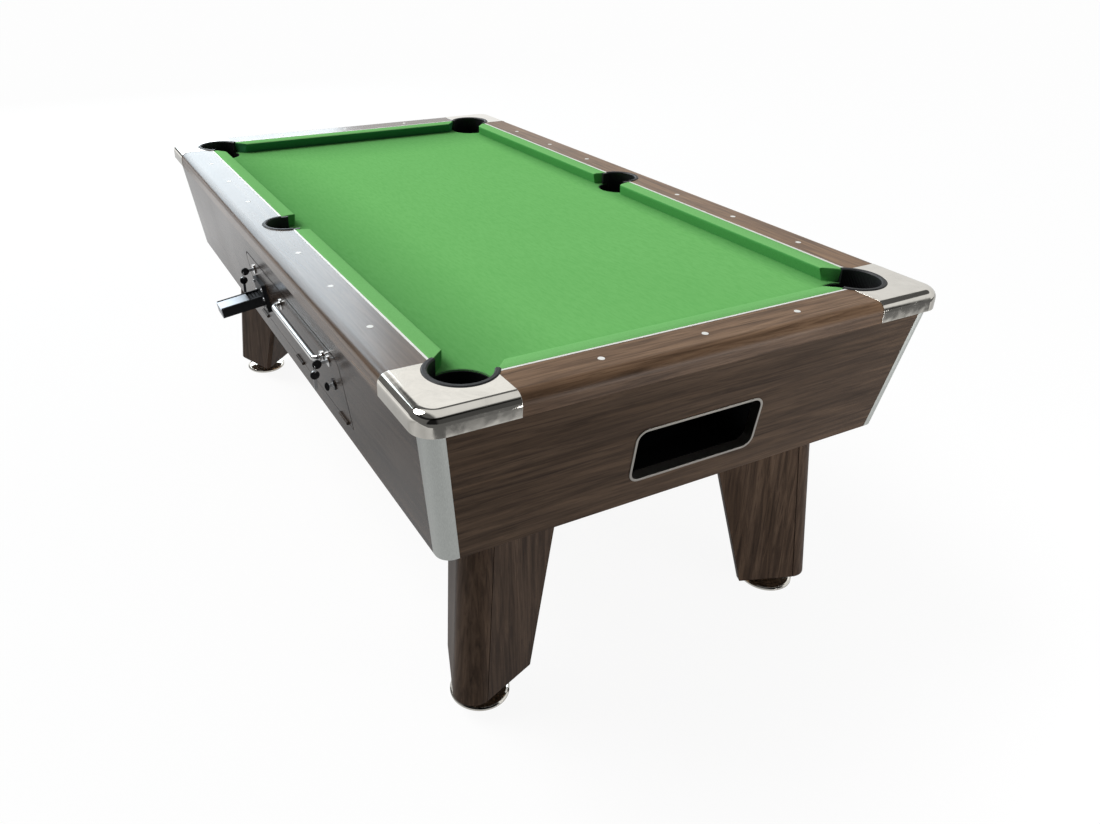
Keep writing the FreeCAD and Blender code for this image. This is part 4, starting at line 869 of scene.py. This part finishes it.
@dataclass
class Cushions:
    """Six rubber cushions under stretched cloth."""

    depth: float = field(init=False)
    height: float = field(init=False)
    bed: float = field(init=False)
    back_x: float = field(init=False)
    back_y: float = field(init=False)
    mid_jaw: float = field(init=False)
    jaw_x: float = 0.3752
    jaw_y: float = 0.8324
    flare: float = 0.0097
    soft: float = 0.003
    soft_steps: int = 4
    crease: float = 50.0
    rim_side: float = 0.0495
    rim_out: float = 0.0325
    rim_radius: float = 0.0686
    rim_slope: float = math.tan(math.radians(65.4))
    # Each point's share of the depth from back to nose and of the height.
    section: Pairs = (
        (0.0, 0.0), (0.0, 0.93), (0.012, 0.975), (0.05, 1.0), (0.11, 1.004), (0.18, 1.006), (0.45, 1.0),
        (0.65, 0.988), (0.8, 0.974), (0.88, 0.963), (0.935, 0.947), (0.972, 0.92), (0.994, 0.88), (1.0, 0.83),
        (0.994, 0.76), (0.978, 0.65), (0.945, 0.43), (0.912, 0.2), (0.88, 0.0), (0.45, 0.0), (0.18, 0.0),
        (0.11, 0.0))

    def __post_init__(self) -> None:
        """Takes the cushions' lines, depth and height from the frame."""
        (_, nose, self.bed), (_, self.back_y, top) = sides("cushion_rear")
        self.depth, self.height = self.back_y - nose, top - self.bed
        (_, self.mid_jaw, _), (self.back_x, _, _) = sides("cushion_plain_rear")

    def reach(self, out: float, corner: bool) -> float:
        """How far past the jaw an end runs at one depth.

        Args:
            out: Distance from the back line.
            corner: Whether the end is mitred into a corner jaw.
        Returns:
            Length beyond the jaw's mark on the back line.
        """
        if not corner:
            return -self.flare * out / self.depth
        across = self.rim_out - out
        to_rim = self.depth + self.rim_side
        at_rim = to_rim - math.sqrt(self.rim_radius ** 2 - across ** 2)
        at_arm = to_rim - across * self.rim_slope
        return min(self.depth - out, max(at_rim, at_arm))

    def end_rings(self, jaw: float, side: int, corner: bool) -> list[list[Vector]]:
        """Sections of one end from the straight run outwards, with its edges turned over.

        Args:
            jaw: The jaw's mark on the back line.
            side: 1 for the far end, -1 for the near one.
            corner: Whether the end is mitred.
        Returns:
            Rings of points in order, with the back line along X and the nose towards -Y.
        """
        crown = self.height * max(rise for _, rise in self.section)
        rings = []
        for step in range(self.soft_steps + 1):
            bend = math.pi / 2 * step / self.soft_steps
            back = self.soft * (1 - math.sin(bend))
            inset = self.soft * (1 - math.cos(bend))
            ring = []
            for share, rise in self.section:
                along = jaw + side * (self.reach(share * self.depth, corner) - back)
                out = min(share * self.depth, self.depth - inset)
                ring.append(Vector((along, -out, min(rise * self.height, crown - inset))))
            rings.append(ring)
        return rings

    def make(self, name: str, start: float, stop: float, corners: tuple[bool, bool], spot: Pair,
             angle: float, finish: Finish = Finishes.cushion_cloth) -> None:
        """Builds one cushion.

        Args:
            name: Its node's name.
            start: Near end on the back line.
            stop: Far end on the back line.
            corners: Whether the near and far ends are corner jaws.
            spot: Plan place of the middle of the back line.
            angle: Turn about the upright in degrees.
            finish: Its cloth.
        """
        near = self.end_rings(start, -1, corners[0])
        rings = near[::-1] + self.end_rings(stop, 1, corners[1])
        to_place = Matrix.Translation((*spot, self.bed)) @ Matrix.Rotation(math.radians(angle), 4, "Z")
        made = bmesh.new()
        rows = [[made.verts.new(to_place @ p) for p in ring] for ring in rings]
        count = len(self.section)
        for low, high in zip(rows, rows[1:]):
            for k in range(count):
                made.faces.new([low[k], low[(k + 1) % count], high[(k + 1) % count], high[k]])
        made.faces.new(rows[0])
        made.faces.new(rows[-1])
        bmesh.ops.remove_doubles(made, verts=made.verts, dist=WELD)
        bmesh.ops.triangulate(made, faces=[f for f in made.faces if len(f.verts) > 4])
        piece = add_piece(name + "_cloth", made, finish, "cabinet", self.crease)
        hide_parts(name)

    def build(self) -> None:
        """Builds the six cushions in their places."""
        ends = (-self.jaw_x, self.jaw_x, (True, True))
        self.make("cushion_rear", *ends, (0, self.back_y), 0, Finishes.rear_shaded_cloth)
        self.make("cushion_front", *ends, (0, -self.back_y), 180)
        low = (-self.jaw_y, -self.mid_jaw, (True, False))
        high = (self.mid_jaw, self.jaw_y, (False, True))
        self.make("cushion_plain_rear", *low, (self.back_x, 0), -90)
        self.make("cushion_plain_front", *high, (self.back_x, 0), -90)
        self.make("cushion_coin_rear", *high, (-self.back_x, 0), 90)
        self.make("cushion_coin_front", *low, (-self.back_x, 0), 90)


@dataclass
class Pockets:
    """Moulded pocket liners with their raised rims."""

    throat_top: float = 0.7745

    def dress(self) -> None:
        """Gives the rims a rubbed black and the throats a dull one."""
        throat = (Finishes.inside, lambda centre, _: centre.z < self.throat_top)
        for place in CORNERS + ("mid_plain", "mid_coin"):
            dress("pocket_liner_" + place, Finishes.rim, throat)


@dataclass
class Legs:
    """Wedge legs, their bolts and the levelling feet."""

    def dress(self) -> None:
        """Veneers the legs and plates the feet."""
        for corner in CORNERS:
            dress("leg_" + corner, Finishes.leg_board)
            dress("foot_" + corner, Finishes.chrome)
        dress("leg_bolts", Finishes.steel)


@dataclass
class BallReturn:
    """Runs, tray, gate and the shaft that opens it."""

    def dress(self) -> None:
        """Gives the inner works their plain finishes."""
        for node in ("return_runs", "return_tray"):
            dress(node, Finishes.inside)
        for node in ("ball_gate", "release_shaft", "release_brackets"):
            dress(node, Finishes.steel)


@dataclass
class CoinDoor:
    """Access door with its handle, locks, coin housing and slide."""

    # On the door's plane, u runs along it, v up it and w out of it.
    origin: Triple = (-0.5382, 0.0, 0.472)
    lean_sin: float = 0.145689
    lean_cos: float = 0.98933
    flange_u: float = -0.071
    flange_v: float = 0.13315
    flange_w: float = 0.01
    bolt_u: float = 0.0375
    bolt_pitch: float = 0.0255
    bolt_profile: Pairs = ((0.0046, 0.0), (0.0046, 0.001), (0.0042, 0.002), (0.0034, 0.0027), (0.0024, 0.003),
                           (0.0021, 0.0028), (0.0019, 0.0014), (0.0, 0.0012))
    bolt_steps: int = 18
    bolt_crease: float = 30.0
    # Where the keys' heads start out of the door, and how far up it the dark lock reaches.
    bow_start: float = 0.0149
    low_bow_start: float = 0.0109
    low_lock: float = 0.155
    # Bottom and top of a hanging key's head below the top of its ring, and half the head's thickness.
    spare_head: Pair = (0.0375, 0.0155)
    spare_half: float = 0.0017

    def axes(self) -> Matrix:
        """The axes of the door's plane.

        Returns:
            A matrix that takes u, v and w to the table's own axes.
        """
        s, c = self.lean_sin, self.lean_cos
        x, y, z = self.origin
        return Matrix(((0, -s, -c, x), (-1, 0, 0, y), (0, c, -s, z), (0, 0, 0, 1)))

    def head(self, start: float) -> Picker:
        """Picks a key's moulded head by its distance out of the door."""
        inverse = self.axes().inverted()
        return lambda centre, _: (inverse @ centre).z > start

    def spare(self, node: str) -> Picker:
        """Picks the moulded head of a hanging key.

        Args:
            node: The hanging key's node.
        Returns:
            A test for the head's faces.
        """
        low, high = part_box(node)
        middle = (low.y + high.y) / 2
        bottom, top = [high.z - below for below in self.spare_head]
        return lambda centre, _: bottom < centre.z < top and abs(centre.y - middle) < self.spare_half

    def bolts(self) -> None:
        """Sets six bolt heads in the flange of the coin housing."""
        made = bmesh.new()
        for side in (-1, 1):
            for row in (-1, 0, 1):
                u = self.flange_u + side * self.bolt_u
                v = self.flange_v + row * self.bolt_pitch
                to_place = self.axes() @ Matrix.Translation((u, v, self.flange_w))
                lathe(made, self.bolt_profile, to_place, self.bolt_steps)
        add_piece("coin_flange_bolts", made, Finishes.steel, "door", self.bolt_crease)

    def build(self) -> None:
        """Dresses the door's nodes and adds its bolts."""
        Cabinet().panel("access_door", Finishes.door_board, Outward.COIN_SIDE)
        for node in ("door_hinge_leaves", "cabinet_hinge_leaves"):
            dress(node, Finishes.hinge)
        dress("door_handle", Finishes.tube)
        inverse = self.axes().inverted()
        lowest = (Finishes.dark_lock, lambda centre, _: (inverse @ centre).y < self.low_lock)
        dress("lock_barrels", Finishes.tube, lowest)
        dress("coin_housing", Finishes.enamel)
        dress("coin_slide", Finishes.enamel)
        dress("coin_slide_plate", Finishes.slide_plate)
        for number, start in ((1, self.bow_start), (2, self.bow_start), (3, self.low_bow_start)):
            dress("lock_key_%d" % number, Finishes.steel, (Finishes.key_head, self.head(start)))
        for node in ("spare_key_1", "spare_key_2"):
            dress(node, Finishes.steel, (Finishes.key_head, self.spare(node)))
        self.bolts()


def place_light(light: bpy.types.Light, spot: Vector, towards: Vector) -> None:
    """Puts a light in the scene.

    Args:
        light: The light.
        spot: Its place.
        towards: Direction that it shines in.
    """
    lamp = bpy.data.objects.new(light.name, light)
    lamp.location = spot
    lamp.rotation_euler = towards.to_track_quat("-Z", "Y").to_euler()
    bpy.context.scene.collection.objects.link(lamp)


@dataclass(frozen=True)
class Lamp:
    """A soft light with a size in metres and a power in watts."""

    name: str
    spot: Triple
    aim: Triple
    size: Pair
    power: float
    tint: Colour = WHITE

    def hang(self) -> None:
        """Hangs the light and turns it to its aim."""
        light = bpy.data.lights.new(self.name, "AREA")
        light.color = self.tint
        light.shape = "RECTANGLE"
        light.size, light.size_y = self.size
        light.energy = self.power
        place_light(light, Vector(self.spot), Vector(self.aim) - Vector(self.spot))


@dataclass(frozen=True)
class FarLight:
    """A broad far light, with angles in degrees: its bearing runs from the rear towards the coin side."""

    name: str
    bearing: float
    height: float
    width: float
    power: float

    def hang(self) -> None:
        """Hangs the light and turns it to the table."""
        light = bpy.data.lights.new(self.name, "SUN")
        light.angle = math.radians(self.width)
        light.energy = self.power
        around, above = math.radians(self.bearing), math.radians(self.height)
        flat = math.cos(above)
        towards = Vector((-flat * math.sin(around), flat * math.cos(around), math.sin(above)))
        place_light(light, Vector(), -towards)


@dataclass
class Studio:
    """Pale floor, soft light and the camera."""

    eye: Triple = (-1.0384, -2.1292, 1.4844)
    look: Triple = (0.4227, 0.7907, -0.4428)
    roll: float = math.radians(0.46)
    lens: float = 29.15
    sensor: float = 36.0
    shift: Pair = (0.0474, -0.0473)
    sight: float = 200.0
    floor_half: float = 30.0
    floor_tone: Colour = (0.9, 0.9, 0.9)
    floor_glow: float = 0.92
    # Glow levels along Y that metal shows: the dimmer stretch beside the table is a painted shadow of the
    # table, and the dark bands in front and far behind darken reflections.
    floor_bands: Pairs = ((-3.0, 0.05), (-2.22, 0.05), (-2.19, 0.55), (-1.6, 0.4), (-0.6, 0.5), (0.1, 0.35),
                          (1.2, 0.6), (2.4, 1.0), (3.6, 0.95), (4.0, 0.5), (5.6, 0.55), (8.0, 0.95))
    room: Pairs = ((-0.7, 0.05), (0.6, 0.6))
    side_bands: Pairs = ((-1.0, 0.12), (-0.25, 0.15), (-0.05, 1.0), (0.45, 1.0), (0.75, 0.82), (1.0, 0.7))
    depth_bands: Pairs = ((-1.0, 0.06), (-0.64, 0.06), (-0.58, 0.85), (-0.3, 0.95), (1.0, 0.95))
    height_bands: Pairs = ((-1.0, 1.0), (0.53, 1.0), (0.57, 0.1), (0.74, 0.12), (0.78, 0.75), (1.0, 0.75))
    far_light: FarLight = FarLight("far_light", bearing=42, height=50, width=36, power=2.25)
    back_window: Lamp = Lamp("back_window", spot=(-0.8, 6.0, 3.0), aim=(-0.5, 0, 0.9), size=(5.2, 3.4),
                             power=140, tint=(0.8, 0.92, 1.0))
    low_fill: Lamp = Lamp("low_fill", spot=(1.1, -2.4, 0.45), aim=(1.1, 0, 0.45), size=(1.6, 0.8), power=26)

    def fade(self, tree: Tree) -> Socket:
        """Grades the floor along the table in what metal shows of it, with a painted table shadow, and keeps
        it white to the eye.
        """
        along = tree.split(tree.coords(Space.OBJECT))["Y"]
        return tree.sum(Way.LARGEST, tree.graded(along, self.floor_bands), tree.ray(Ray.CAMERA))

    def floor_look(self) -> bpy.types.Material:
        """Mixes a lit floor with a glowing one.

        Returns:
            The floor's material.
        """
        material = bpy.data.materials.new("studio_floor")
        material.use_nodes = True
        tree = Tree(material.node_tree)
        tree.nodes.clear()
        lit = tree.nodes.new("ShaderNodeBsdfDiffuse")
        tree.feed(lit.inputs["Color"], self.floor_tone)
        glow = tree.nodes.new("ShaderNodeEmission")
        tree.feed(glow.inputs["Color"], WHITE)
        tree.feed(glow.inputs["Strength"], self.fade(tree))
        share = tree.sum(Way.PRODUCT, tree.seen(), self.floor_glow)
        blend = tree.nodes.new("ShaderNodeMixShader")
        for socket, value in zip(blend.inputs, (share, lit.outputs[0], glow.outputs[0])):
            tree.feed(socket, value)
        out = tree.nodes.new("ShaderNodeOutputMaterial")
        tree.feed(out.inputs["Surface"], blend.outputs[0])
        return material

    def floor(self) -> None:
        """Lays a white floor that keeps a faint shadow."""
        h = self.floor_half
        mesh = bpy.data.meshes.new("studio_floor")
        mesh.from_pydata([(-h, -h, 0), (h, -h, 0), (h, h, 0), (-h, h, 0)], [], [(0, 1, 2, 3)])
        mesh.materials.append(self.floor_look())
        floor = bpy.data.objects.new("studio_floor", mesh)
        bpy.context.scene.collection.objects.link(floor)

    def world(self) -> None:
        """Lights the room from behind, before a backdrop that metal shows with dark and bright bands."""
        world = bpy.data.worlds.new("studio")
        bpy.context.scene.world = world
        world.use_nodes = True
        tree = Tree(world.node_tree)
        axes = tree.split(tree.coords(Space.DIRECTION))
        bands = {"X": self.side_bands, "Y": self.depth_bands, "Z": self.height_bands}
        shown = tree.sum(Way.PRODUCT, *[tree.graded(axes[axis], levels) for axis, levels in bands.items()])
        level = tree.mix(tree.seen(), tree.graded(axes["Y"], self.room), shown)
        ground = tree.nodes["Background"]
        tree.feed(ground.inputs["Color"], WHITE)
        tree.feed(ground.inputs["Strength"], tree.sum(Way.LARGEST, level, tree.ray(Ray.CAMERA)))

    def camera(self) -> None:
        """Sets the camera at the photograph's place."""
        data = bpy.data.cameras.new("camera")
        data.lens, data.sensor_width = self.lens, self.sensor
        data.shift_x, data.shift_y = self.shift
        data.clip_end = self.sight
        back = -Vector(self.look).normalized()
        right = Vector((0, 0, 1)).cross(back).normalized()
        up = back.cross(right)
        tilted = right * math.cos(self.roll) + up * math.sin(self.roll)
        top = back.cross(tilted)
        turn = Matrix((tilted, top, back)).transposed().to_4x4()
        camera = bpy.data.objects.new("camera", data)
        camera.matrix_world = Matrix.Translation(self.eye) @ turn
        bpy.context.scene.collection.objects.link(camera)
        bpy.context.scene.camera = camera

    def build(self) -> None:
        """Sets floor, world, lights and camera."""
        self.floor()
        self.world()
        for light in (self.far_light, self.back_window, self.low_fill):
            light.hang()
        self.camera()
        bpy.context.scene.view_settings.view_transform = "Standard"
        LOG.info("set the studio")


def main() -> None:
    """Sets the studio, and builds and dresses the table."""
    logging.basicConfig(level=logging.INFO, format="%(name)s: %(message)s")
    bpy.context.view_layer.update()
    Studio().build()
    Cabinet().dress()
    Rails().dress()
    Bed().build()
    Cushions().build()
    Pockets().dress()
    Legs().dress()
    BallReturn().dress()
    CoinDoor().build()


if __name__ == "__main__":
    main()
